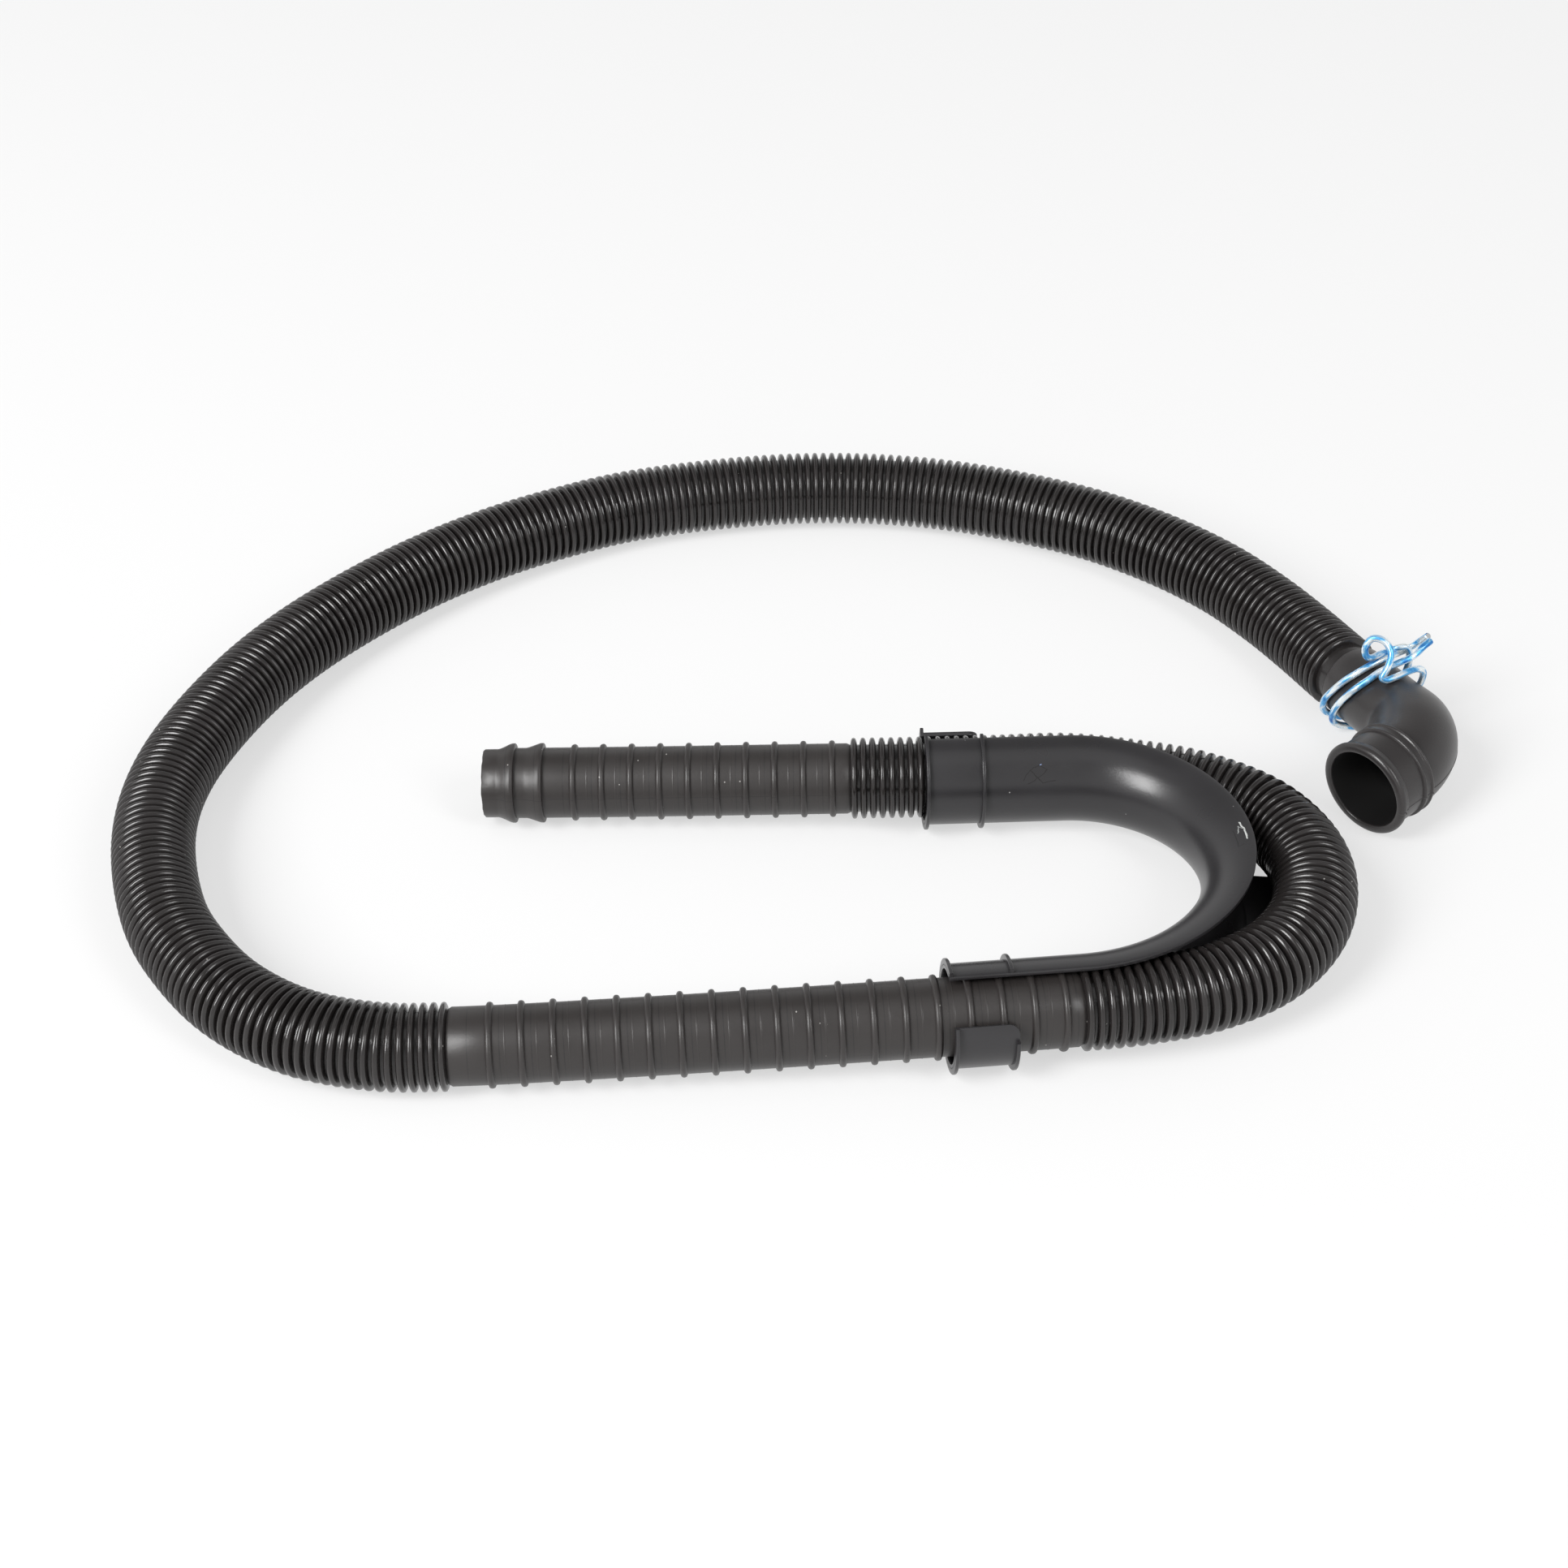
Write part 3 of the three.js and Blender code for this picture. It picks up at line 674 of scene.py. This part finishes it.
# The bore of the boot, painted near-black and dull: painted shade for the deep shade inside it, on
# the same rubber as outside
bore_painted_shade, output = new_material("rubber_bore_painted_shade")
shader = add_node(
    bore_painted_shade,
    "ShaderNodeBsdfPrincipled",
    Base_Color=linear("#0d0c0c"),
    Roughness=0.6,
)
bore_painted_shade.node_tree.links.new(shader.outputs[0], output.inputs["Surface"])
boot.data.materials.append(bore_painted_shade)
# The faces of the bore take the painted shade
in_bore = np.repeat(ring_number >= first_in_bore - 1, len(boot_turns)).astype(np.int32)
boot.data.polygons.foreach_set("material_index", in_bore)

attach(boot, "root")
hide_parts("elbow_boot")

# Wire clamp
# A spring clamp bent from one length of hard-drawn steel wire, 2.8 mm over its plate and lacquer:
# two turns round the sleeve, a closed ear that stands up and two free ends side by side. Pinching
# the ear and ends together opens it.
CLAMP_ROUTE = [
    (0.2569, 0.0278, 0.0447), (0.2539, 0.0316, 0.0384), (0.249, 0.0313, 0.0348),
    (0.2423, 0.0249, 0.0368), (0.2344, 0.0202, 0.0362), (0.2281, 0.0176, 0.0338),
    (0.2233, 0.0174, 0.0299), (0.2195, 0.0187, 0.0241), (0.2172, 0.0218, 0.0168),
    (0.2189, 0.026, 0.0081), (0.2275, 0.03, 0.0018), (0.2393, 0.033, 0.0034),
    (0.2483, 0.0331, 0.0134), (0.2514, 0.0304, 0.0278), (0.2509, 0.0291, 0.0341),
    (0.2491, 0.0288, 0.0382), (0.2454, 0.0286, 0.0382), (0.2436, 0.0288, 0.0372),
    (0.2407, 0.027, 0.0373), (0.2371, 0.023, 0.039), (0.2321, 0.0176, 0.0411),
    (0.2301, 0.0168, 0.0428), (0.2294, 0.0173, 0.0457), (0.2305, 0.018, 0.0488),
    (0.2322, 0.0181, 0.0505), (0.2365, 0.0164, 0.0503), (0.2391, 0.0131, 0.0467),
    (0.2381, 0.0102, 0.0428), (0.2369, 0.0089, 0.0405), (0.2358, 0.008, 0.0383),
    (0.2375, 0.0078, 0.0373), (0.2403, 0.0089, 0.0374), (0.2472, 0.0134, 0.0374),
    (0.2508, 0.0161, 0.0366), (0.2538, 0.0185, 0.0346), (0.2555, 0.0206, 0.031),
    (0.2552, 0.0239, 0.0211), (0.2495, 0.0245, 0.0091), (0.2381, 0.0234, 0.0024),
    (0.2258, 0.0212, 0.0039), (0.2218, 0.0197, 0.007), (0.2203, 0.0158, 0.0155),
    (0.2223, 0.0125, 0.0237), (0.2262, 0.0111, 0.0301), (0.2316, 0.0117, 0.0347),
    (0.2359, 0.0136, 0.037), (0.243, 0.0156, 0.0398), (0.2491, 0.0179, 0.0415),
    (0.2548, 0.0224, 0.044), (0.2574, 0.0247, 0.0445),
]
WIRE_RADIUS = 1.42 * MM
WIRE_SIDES = 14


def wire(line, radius, sides):
    """A round wire along a line: the rings turn with the line by the least twist from one to the
    next, so a wire that stands upright doesn't spin. Its ends are cut square with a small edge.
    Gives points, faces and, for each face corner, the turn round the wire and the metres along."""
    steps = np.diff(line, axis=0)
    forward = steps / np.linalg.norm(steps, axis=1, keepdims=True)
    forward = np.concatenate([forward[:1], forward[1:] + forward[:-1], forward[-1:]])
    forward /= np.linalg.norm(forward, axis=1, keepdims=True)
    across = np.empty_like(forward)
    side = np.cross(forward[0], (0.0, 1.0, 0.0))
    for i, ahead in enumerate(forward):
        side = side - ahead * (side @ ahead)
        side /= np.linalg.norm(side)
        across[i] = side
    other = np.cross(forward, across)
    angle = np.linspace(0, 2 * np.pi, sides, endpoint=False)[None, :, None]
    ring = np.cos(angle) * across[:, None, :] + np.sin(angle) * other[:, None, :]
    edge = 0.2 * radius
    line = np.concatenate([line[:1], line[:1], line[1:-1], line[-1:], line[-1:]])
    line[1] += forward[0] * edge
    line[-2] -= forward[-1] * edge
    ring = np.concatenate([ring[:1], ring, ring[-1:]])
    radii = np.full(len(line), radius)
    radii[[0, -1]] = radius - edge
    points = line[:, None, :] + radii[:, None, None] * ring
    rings = len(line)
    i = np.arange(rings - 1)[:, None]
    j = np.arange(sides)[None, :]
    after = (j + 1) % sides
    faces = [i * sides + j, i * sides + after, (i + 1) * sides + after, (i + 1) * sides + j]
    faces = np.stack(faces, axis=-1).reshape(-1, 4).tolist()
    faces.append(list(range(sides))[::-1])
    faces.append([(rings - 1) * sides + k for k in range(sides)])
    walked = np.concatenate([[0], np.cumsum(np.linalg.norm(np.diff(line, axis=0), axis=1))])
    turn = np.stack([j, j + 1, j + 1, j], axis=-1) / sides + 0 * i[:, :, None]
    run = np.stack([walked[i], walked[i], walked[i + 1], walked[i + 1]], axis=-1)
    uv = np.stack([turn, run + 0 * j[:, :, None]], axis=-1).reshape(-1, 2)
    uv = np.concatenate([uv, np.tile([0.5, 0.0], (2 * sides, 1))])
    return points.reshape(-1, 3), faces, uv


clamp_parts = wire(smooth_route(CLAMP_ROUTE, 9), WIRE_RADIUS, WIRE_SIDES)
clamp = surface("wire_clamp", *clamp_parts)
cut_ends = np.array([len(face) > 4 for face in clamp_parts[1]])
clamp.data.polygons.foreach_set("use_smooth", ~cut_ends)

# Zinc plate with a worn blue lacquer: bright silver where it is rubbed bare, sky blue in
# streaks drawn out along the wire, deeper where the lacquer pooled. A streak is about 10 mm
# long and 3.4 mm round the wire.
clamp_zinc, output = new_material("lacquered_zinc_plate")
turns = add_node(clamp_zinc, "ShaderNodeTexCoord").outputs["UV"]
streak_place = add_node(clamp_zinc, "ShaderNodeMapping", Vector=turns, Scale=(2.6, 95.0, 1.0))
streak = add_node(
    clamp_zinc,
    "ShaderNodeTexNoise",
    Vector=streak_place.outputs["Vector"],
    Scale=1.0,
    Detail=5.0,
    Roughness=0.62,
    Distortion=0.5,
)
blue_share = add_node(
    clamp_zinc,
    "ShaderNodeMapRange",
    Value=streak.outputs["Fac"],
    From_Min=0.45,
    From_Max=0.55,
)
deep_share = add_node(
    clamp_zinc,
    "ShaderNodeMapRange",
    Value=streak.outputs["Fac"],
    From_Min=0.56,
    From_Max=0.66,
)
blue = add_node(
    clamp_zinc,
    "ShaderNodeMix",
    {"data_type": "RGBA"},
    Factor=deep_share.outputs["Result"],
    _6=linear("#5aa9dc"),
    _7=linear("#2368b2"),
)
colour = add_node(
    clamp_zinc,
    "ShaderNodeMix",
    {"data_type": "RGBA"},
    Factor=blue_share.outputs["Result"],
    _6=linear("#e9f0f2"),
    _7=blue.outputs[2],
)
rough = add_node(
    clamp_zinc,
    "ShaderNodeMapRange",
    Value=streak.outputs["Fac"],
    From_Min=0.35,
    From_Max=0.65,
    To_Min=0.2,
    To_Max=0.4,
)
relief = add_node(
    clamp_zinc,
    "ShaderNodeBump",
    Strength=0.35,
    Distance=0.0001,
    Height=streak.outputs["Fac"],
)
shader = add_node(
    clamp_zinc,
    "ShaderNodeBsdfPrincipled",
    Base_Color=colour.outputs[2],
    Metallic=0.6,
    Roughness=rough.outputs["Result"],
    Normal=relief.outputs["Normal"],
)
clamp_zinc.node_tree.links.new(shader.outputs[0], output.inputs["Surface"])
clamp.data.materials.append(clamp_zinc)

# Bare cut ends of the wire: bright sheared steel
cut_steel, output = new_material("sheared_spring_steel")
shader = add_node(
    cut_steel,
    "ShaderNodeBsdfPrincipled",
    Base_Color=linear("#d9dcdd"),
    Metallic=1.0,
    Roughness=0.38,
)
cut_steel.node_tree.links.new(shader.outputs[0], output.inputs["Surface"])
clamp.data.materials.append(cut_steel)
clamp.data.polygons.foreach_set("material_index", cut_ends.astype(np.int32))

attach(clamp, "root")
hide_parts("hose_clamp")

# U-bend guide
# An injection-moulded polypropylene half channel that holds the hose in a hook over a sink or
# standpipe. Fingers at both ends snap round the hose, between a tall flange and a short one.
GUIDE_START = (0.0502, -0.0338)
GUIDE_HEADING = 2.6
FAR_LEG = 55.5 * MM
NEAR_LEG = 49.5 * MM
TIGHT_BEND = (63 * MM, 122.6)
SLACK_BEND = (79 * MM, 53.9)
CHANNEL_INNER = 17.25 * MM
CHANNEL_WALL = 1.6 * MM
CHANNEL_OUTER = CHANNEL_INNER + CHANNEL_WALL
FLANGE_HEIGHT = 2 * MM
FLANGE_THICKNESS = 1.35 * MM
FLANGE_BED = 0.5 * MM
EDGE_ROUNDING = 0.35 * MM
CHANNEL_Z = CHANNEL_OUTER + FLANGE_HEIGHT
COLLAR_LENGTH = 23 * MM
# Angles round the channel are in degrees: 90 on top, 180 on the inner side of the bend, 270
# underneath
CHANNEL_SIDES = (90, 270)
FINGER_ROOT = 262
FINGER_INSET = 0.03 * MM
FINGER_TOP = 390
SHORT_FLANGE_TOP = 370
FINGER_CORNER = 4 * MM
TAB_REACH = 24 * MM
TAB_WIDTH = 54 * MM
TAB_CORNER = 6 * MM
TAB_EDGE = 0.4 * MM
TAB_TURN = 97.6
EDGE_LIMIT = math.radians(50)


def legs_and_bends(start, heading, height, runs):
    """A level line of straight runs and right-hand bends. A run is a length, and a bend is a
    radius and a sweep in degrees, so its points are centre + radius * (cos, sin) of the angle."""
    point = np.array(start, float)
    angle = math.radians(heading)
    line = [point[None, :]]
    for run in runs:
        if isinstance(run, float):
            share = np.linspace(0, 1, 40)[1:, None]
            part = point + share * run * np.array([math.cos(angle), math.sin(angle)])
        else:
            radius, sweep = run[0], math.radians(run[1])
            centre = point + radius * np.array([math.sin(angle), -math.cos(angle)])
            turned = angle - np.linspace(0, sweep, 120)[1:]
            arc = np.stack([-np.sin(turned), np.cos(turned)], axis=-1)
            part = centre + radius * arc
            angle -= sweep
        line.append(part)
        point = part[-1]
    line = np.concatenate(line)
    return np.column_stack([line, np.full(len(line), height)])


guide_line = legs_and_bends(
    GUIDE_START, GUIDE_HEADING, CHANNEL_Z, [FAR_LEG, TIGHT_BEND, SLACK_BEND, NEAR_LEG]
)
guide_length = np.linalg.norm(np.diff(guide_line, axis=0), axis=1).sum()


def skin(line, stations, low, high, steps, radius):
    """An open curved sheet at one radius round the line. Its columns run from angle low to angle
    high, in degrees, which may differ from station to station. The UVs are metres round the
    channel and metres along it."""
    place, left, up, _ = along(line, stations)
    share = np.linspace(0, 1, steps + 1)[None, :]
    low, high = np.broadcast_to(low, len(stations)), np.broadcast_to(high, len(stations))
    angle = np.radians(low[:, None] + (high - low)[:, None] * share)[:, :, None]
    ring = np.cos(angle) * left[:, None, :] + np.sin(angle) * up[:, None, :]
    points = place[:, None, :] + radius * ring
    i = np.arange(len(stations) - 1)[:, None] * (steps + 1)
    j = np.arange(steps)[None, :]
    faces = np.stack([i + j, i + j + 1, i + steps + 2 + j, i + steps + 1 + j], axis=-1)
    faces = faces.reshape(-1, 4)
    run = np.broadcast_to(np.asarray(stations)[:, None, None], angle.shape)
    uv = np.concatenate([angle * CHANNEL_OUTER, run], axis=-1).reshape(-1, 2)[faces]
    return points.reshape(-1, 3), faces, uv.reshape(-1, 2)


def flange(line, station, thickness, inner, outer, low, high, steps=60):
    """A flange round the channel: a rounded rectangle, thickness along the line by outer - inner
    across it, swept from angle low to angle high in degrees. Its two ends are closed."""
    corner = EDGE_ROUNDING
    quarter = np.radians(np.linspace(0, 90, 4))
    out_x, out_r = np.sin(quarter) * corner, np.cos(quarter) * corner
    run = np.concatenate([[0], corner - out_r, thickness - corner + out_x, [thickness]])
    tall = np.concatenate([[inner], outer - corner + out_x, outer - corner + out_r, [inner]])
    angle = np.radians(np.linspace(low, high, steps + 1))[:, None, None]
    place, left, up, _ = along(line, station + run)
    ring = np.cos(angle) * left[None] + np.sin(angle) * up[None]
    points = place[None] + tall[None, :, None] * ring
    count = len(run)
    i = np.arange(steps)[:, None] * count
    j = np.arange(count)[None, :]
    after = (j + 1) % count
    faces = np.stack([i + j, i + after, i + count + after, i + count + j], axis=-1)
    faces = faces.reshape(-1, 4)[:, ::-1].tolist()
    faces.append(list(range(count)))
    faces.append([steps * count + k for k in range(count)][::-1])
    return points.reshape(-1, 3), faces


def finger_edge(distance):
    """Angle where the finger's edge runs, at a distance from its free side: a quarter circle
    rounds the corner off."""
    inside = np.clip(FINGER_CORNER - distance, 0, FINGER_CORNER)
    drop = FINGER_CORNER - np.sqrt(np.clip(FINGER_CORNER**2 - inside**2, 0, None))
    return FINGER_TOP - np.degrees(drop / CHANNEL_OUTER)


# A finger's rows of points crowd towards its rounded corner
crowded = np.linspace(0, 1, 30) ** 2
far_run = COLLAR_LENGTH * (1 - crowded[::-1])
near_run = guide_length - COLLAR_LENGTH + COLLAR_LENGTH * crowded
far_finger = finger_edge(COLLAR_LENGTH - far_run)
near_finger = finger_edge(near_run - guide_length + COLLAR_LENGTH)
inset = CHANNEL_OUTER - FINGER_INSET
sheets = [
    skin(guide_line, np.linspace(0, guide_length, 150), *CHANNEL_SIDES, 40, CHANNEL_OUTER),
    skin(guide_line, far_run, FINGER_ROOT, far_finger, 30, inset),
    skin(guide_line, near_run, FINGER_ROOT, near_finger, 30, inset),
]
firsts = np.cumsum([0] + [len(points) for points, _, _ in sheets])
channel = surface(
    "guide_channel",
    np.concatenate([points for points, _, _ in sheets]),
    np.concatenate([faces + first for (_, faces, _), first in zip(sheets, firsts)]).tolist(),
    np.concatenate([uv for _, _, uv in sheets]),
)
wall = channel.modifiers.new("wall", "SOLIDIFY")
wall.thickness = CHANNEL_WALL
wall.offset = -1
wall.use_even_offset = True
softened = channel.modifiers.new("softened", "BEVEL")
softened.width = EDGE_ROUNDING
softened.segments = 2
softened.limit_method = "ANGLE"
softened.angle_limit = EDGE_LIMIT

bed = CHANNEL_OUTER - FLANGE_BED
crest = CHANNEL_OUTER + FLANGE_HEIGHT
flange_parts = [
    (0, FINGER_TOP),
    (COLLAR_LENGTH - FLANGE_THICKNESS, SHORT_FLANGE_TOP),
    (guide_length - COLLAR_LENGTH, SHORT_FLANGE_TOP),
    (guide_length - FLANGE_THICKNESS, FINGER_TOP),
]
flange_points, flange_faces, first = [], [], 0
for station, top in flange_parts:
    points, faces = flange(
        guide_line, station, FLANGE_THICKNESS, bed, crest, CHANNEL_SIDES[0], top
    )
    flange_points.append(points)
    flange_faces += [[index + first for index in face] for face in faces]
    first += len(points)
flanges = surface("guide_flanges", np.concatenate(flange_points), flange_faces)
flanges.data.set_sharp_from_angle(angle=math.radians(40))

# The flat tab springs from the foot of the channel, under the hose where it swings wide
tab_station = FAR_LEG + math.radians(TAB_TURN) * TIGHT_BEND[0]
tab_place, tab_left, _, _ = along(guide_line, [tab_station])
tab_root = TIGHT_BEND[0] - CHANNEL_WALL
tab_swing = math.asin(TAB_WIDTH / 2 / tab_root)
arc = np.linspace(-tab_swing, tab_swing, 25)
round_corner = np.radians(np.linspace(90, 0, 9))
corner_x = TAB_REACH - TAB_CORNER + TAB_CORNER * np.cos(round_corner)
corner_y = TAB_WIDTH / 2 - TAB_CORNER + TAB_CORNER * np.sin(round_corner)
edge_x = np.concatenate([tab_root * np.cos(arc) - TIGHT_BEND[0], corner_x, corner_x[::-1]])
edge_y = np.concatenate([tab_root * np.sin(arc), corner_y, -corner_y[::-1]])
tab_ahead = np.cross((0.0, 0.0, 1.0), tab_left[0])
outline = tab_place[0] + edge_x[:, None] * tab_left[0] + edge_y[:, None] * tab_ahead
corners = len(outline)
low, high = outline.copy(), outline.copy()
low[:, 2], high[:, 2] = FLANGE_HEIGHT, FLANGE_HEIGHT + CHANNEL_WALL
k = np.arange(corners)
after = (k + 1) % corners
tab_faces = np.stack([k + corners, after + corners, after, k], axis=-1).tolist()
tab_faces += [k.tolist(), (k[::-1] + corners).tolist()]
tab = surface("guide_tab", np.concatenate([low, high]), tab_faces)
tab.data.shade_flat()
tab_edge = tab.modifiers.new("softened", "BEVEL")
tab_edge.width = TAB_EDGE
tab_edge.segments = 2
tab_edge.limit_method = "ANGLE"
tab_edge.angle_limit = EDGE_LIMIT

# Moulded polypropylene with a satin tool finish: charcoal with broad soft highlights, faintly
# cloudy in patches of about 33 mm, with specks of dust about 9 mm apart. The grain is drawn
# 0.9 mm coarse, so that it shows.
guide_plastic, output = new_material("moulded_polypropylene")
place = add_node(guide_plastic, "ShaderNodeTexCoord").outputs
cloud = add_node(
    guide_plastic, "ShaderNodeTexNoise", Vector=place["Object"], Scale=30.0, Detail=4.0
)
tint = add_node(
    guide_plastic,
    "ShaderNodeMix",
    {"data_type": "RGBA"},
    Factor=cloud.outputs["Fac"],
    _6=linear("#201f20"),
    _7=linear("#2b2a2c"),
)

# Marks on the channel, each a width in mm, a colour and a line from one (station in mm, angle in
# degrees) to the next: the L-shaped mark of the mould insert, a loose sliver of clear film, and
# hairs and a bluish speck on the leg. The colour of a texture shakes the lines a little.
MARKS = {
    "mould_mark": (0.28, "#0d0c0c", [(150.5, 112.0), (160.5, 109.5), (159.5, 103.5)]),
    "film": (0.7, "#aeb0ae", [(146.5, 101.5), (151.0, 99.5), (156.5, 98.0)]),
    "film_curl": (0.35, "#858786", [(151.0, 99.5), (148.5, 105.0), (152.5, 107.5)]),
    "hair": (0.3, "#100f0f", [(37.5, 149.0), (40.0, 137.0), (44.0, 131.0), (47.0, 136.0)]),
    "hair_bend": (0.3, "#100f0f", [(47.0, 136.0), (43.5, 146.0), (39.0, 153.0)]),
    "curl": (0.3, "#100f0f", [(40.0, 137.0), (45.0, 152.0), (50.0, 149.0)]),
    "speck": (0.35, "#7d8fb5", [(44.4, 130.6), (44.8, 130.2)]),
}
wobble = add_node(
    guide_plastic, "ShaderNodeTexNoise", Vector=place["Object"], Scale=350.0, Detail=2.0
)
shake = add_node(
    guide_plastic,
    "ShaderNodeVectorMath",
    {"operation": "MULTIPLY_ADD"},
    _0=wobble.outputs["Color"],
    _1=(1.6 * MM, 1.6 * MM, 0.0),
    _2=(-0.8 * MM, -0.8 * MM, 0.0),
)
shaken = add_node(
    guide_plastic,
    "ShaderNodeVectorMath",
    {"operation": "ADD"},
    _0=place["UV"],
    _1=shake.outputs[0],
)
colour = tint.outputs[2]
for width, code, corners in MARKS.values():
    spots = [(math.radians(turn) * CHANNEL_OUTER, run * MM, 0) for run, turn in corners]
    spots = np.array(spots)
    for first, last in zip(spots, spots[1:]):
        reach = last - first
        offset = add_node(
            guide_plastic,
            "ShaderNodeVectorMath",
            {"operation": "SUBTRACT"},
            _0=shaken.outputs[0],
            _1=first,
        )
        along_it = add_node(
            guide_plastic,
            "ShaderNodeVectorMath",
            {"operation": "DOT_PRODUCT"},
            _0=offset.outputs[0],
            _1=reach / (reach @ reach),
        )
        held = add_node(
            guide_plastic,
            "ShaderNodeMath",
            {"operation": "ADD", "use_clamp": True},
            _0=along_it.outputs["Value"],
            _1=0.0,
        )
        nearest = add_node(
            guide_plastic,
            "ShaderNodeVectorMath",
            {"operation": "SCALE"},
            _0=reach,
            Scale=held.outputs[0],
        )
        away = add_node(
            guide_plastic,
            "ShaderNodeVectorMath",
            {"operation": "DISTANCE"},
            _0=offset.outputs[0],
            _1=nearest.outputs[0],
        )
        on_mark = add_node(
            guide_plastic,
            "ShaderNodeMapRange",
            Value=away.outputs["Value"],
            From_Min=0.6 * width * MM,
            From_Max=0.4 * width * MM,
        )
        mark = add_node(
            guide_plastic,
            "ShaderNodeMix",
            {"data_type": "RGBA"},
            Factor=on_mark.outputs["Result"],
            _6=colour,
            _7=linear(code),
        )
        colour = mark.outputs[2]
speck = add_node(guide_plastic, "ShaderNodeTexVoronoi", Vector=place["Object"], Scale=110.0)
dusty = add_node(
    guide_plastic,
    "ShaderNodeMapRange",
    Value=speck.outputs["Distance"],
    From_Min=0.035,
    From_Max=0.02,
)
dust = add_node(
    guide_plastic,
    "ShaderNodeMix",
    {"data_type": "RGBA"},
    Factor=dusty.outputs["Result"],
    _6=colour,
    _7=linear("#9a9998"),
)
gloss = add_node(
    guide_plastic,
    "ShaderNodeMapRange",
    Value=cloud.outputs["Fac"],
    From_Min=0.3,
    From_Max=0.7,
    To_Min=0.25,
    To_Max=0.34,
)
grain = add_node(
    guide_plastic, "ShaderNodeTexNoise", Vector=place["Object"], Scale=1100.0, Detail=3.0
)
relief = add_node(
    guide_plastic,
    "ShaderNodeBump",
    Strength=0.12,
    Distance=0.0002,
    Height=grain.outputs["Fac"],
)
shader = add_node(
    guide_plastic,
    "ShaderNodeBsdfPrincipled",
    Base_Color=dust.outputs[2],
    Roughness=gloss.outputs["Result"],
    IOR=1.49,
    Normal=relief.outputs["Normal"],
)
guide_plastic.node_tree.links.new(shader.outputs[0], output.inputs["Surface"])

for piece in (channel, flanges, tab):
    piece.data.materials.append(guide_plastic)
    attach(piece, "root")
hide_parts("hose_guide")

# Table and light
# A seamless sweep of white paper under a strong soft box on the left, a weaker one on the right
# and a dim one overhead. The paper glows a little of itself, so that it stays white.
PAPER_REACH = 3.0
PAPER_GLOW = 0.6
paper_corners = np.array([(-1, -1, 0), (1, -1, 0), (1, 1, 0), (-1, 1, 0)]) * PAPER_REACH
floor = surface("sweep", paper_corners, [(0, 1, 2, 3)])
paper, output = new_material("white_paper")
sheet = add_node(paper, "ShaderNodeBsdfDiffuse", Color=linear("#dddddd"), Roughness=0.0)
glow = add_node(paper, "ShaderNodeEmission", Color=linear("#fcfcfc"), Strength=1.0)
ray = add_node(paper, "ShaderNodeLightPath")
seen = add_node(
    paper,
    "ShaderNodeMath",
    {"operation": "MAXIMUM"},
    _0=ray.outputs["Is Camera Ray"],
    _1=ray.outputs["Is Glossy Ray"],
)
glow_share = add_node(
    paper, "ShaderNodeMath", {"operation": "MULTIPLY"}, _0=seen.outputs[0], _1=PAPER_GLOW
)
shader = add_node(
    paper,
    "ShaderNodeMixShader",
    Fac=glow_share.outputs[0],
    _1=sheet.outputs[0],
    _2=glow.outputs[0],
)
paper.node_tree.links.new(shader.outputs[0], output.inputs["Surface"])
floor.data.materials.append(paper)

# The room is bright round the horizon, as a light tent is, and dim overhead. Seen directly it is
# as white as the paper.
HORIZON_LEVEL = 0.9
OVERHEAD_LEVEL = 0.26
world = bpy.data.worlds.new("studio")
bpy.context.scene.world = world
world.use_nodes = True
sky = add_node(world, "ShaderNodeTexCoord").outputs["Generated"]
rise = add_node(world, "ShaderNodeSeparateXYZ", Vector=sky)
level = add_node(
    world,
    "ShaderNodeMapRange",
    Value=rise.outputs["Z"],
    From_Min=0.3,
    From_Max=0.8,
    To_Min=HORIZON_LEVEL,
    To_Max=OVERHEAD_LEVEL,
)
direct = add_node(world, "ShaderNodeLightPath").outputs["Is Camera Ray"]
strength = add_node(
    world,
    "ShaderNodeMath",
    {"operation": "MAXIMUM"},
    _0=level.outputs["Result"],
    _1=direct,
)
background = world.node_tree.nodes["Background"]
background.inputs["Color"].default_value = linear("#fbfbfb")
world.node_tree.links.new(strength.outputs[0], background.inputs["Strength"])


def softbox(name, azimuth, elevation, distance, width, height, radiance):
    """A rectangular light that faces the middle of the table. Azimuth runs from the camera's side,
    positive to the right, and its power is radiance * area * pi."""
    light = bpy.data.lights.new(name, "AREA")
    light.shape = "RECTANGLE"
    light.size = width
    light.size_y = height
    light.energy = radiance * width * height * math.pi
    lamp = bpy.data.objects.new(name, light)
    bpy.context.scene.collection.objects.link(lamp)
    azimuth, elevation = math.radians(azimuth), math.radians(elevation)
    level = distance * math.cos(elevation)
    lamp.location = (
        level * math.sin(azimuth),
        -level * math.cos(azimuth),
        distance * math.sin(elevation),
    )
    lamp.rotation_euler = (math.pi / 2 - elevation, 0, azimuth)


softbox("left_box", -50, 40, 3.2, 1.15, 1.8, 18.0)
softbox("right_box", 48, 42, 3.2, 0.85, 1.5, 8.0)
softbox("overhead_box", 0, 84, 3.0, 2.4, 1.8, 0.6)

bpy.context.scene.view_settings.view_transform = "Standard"
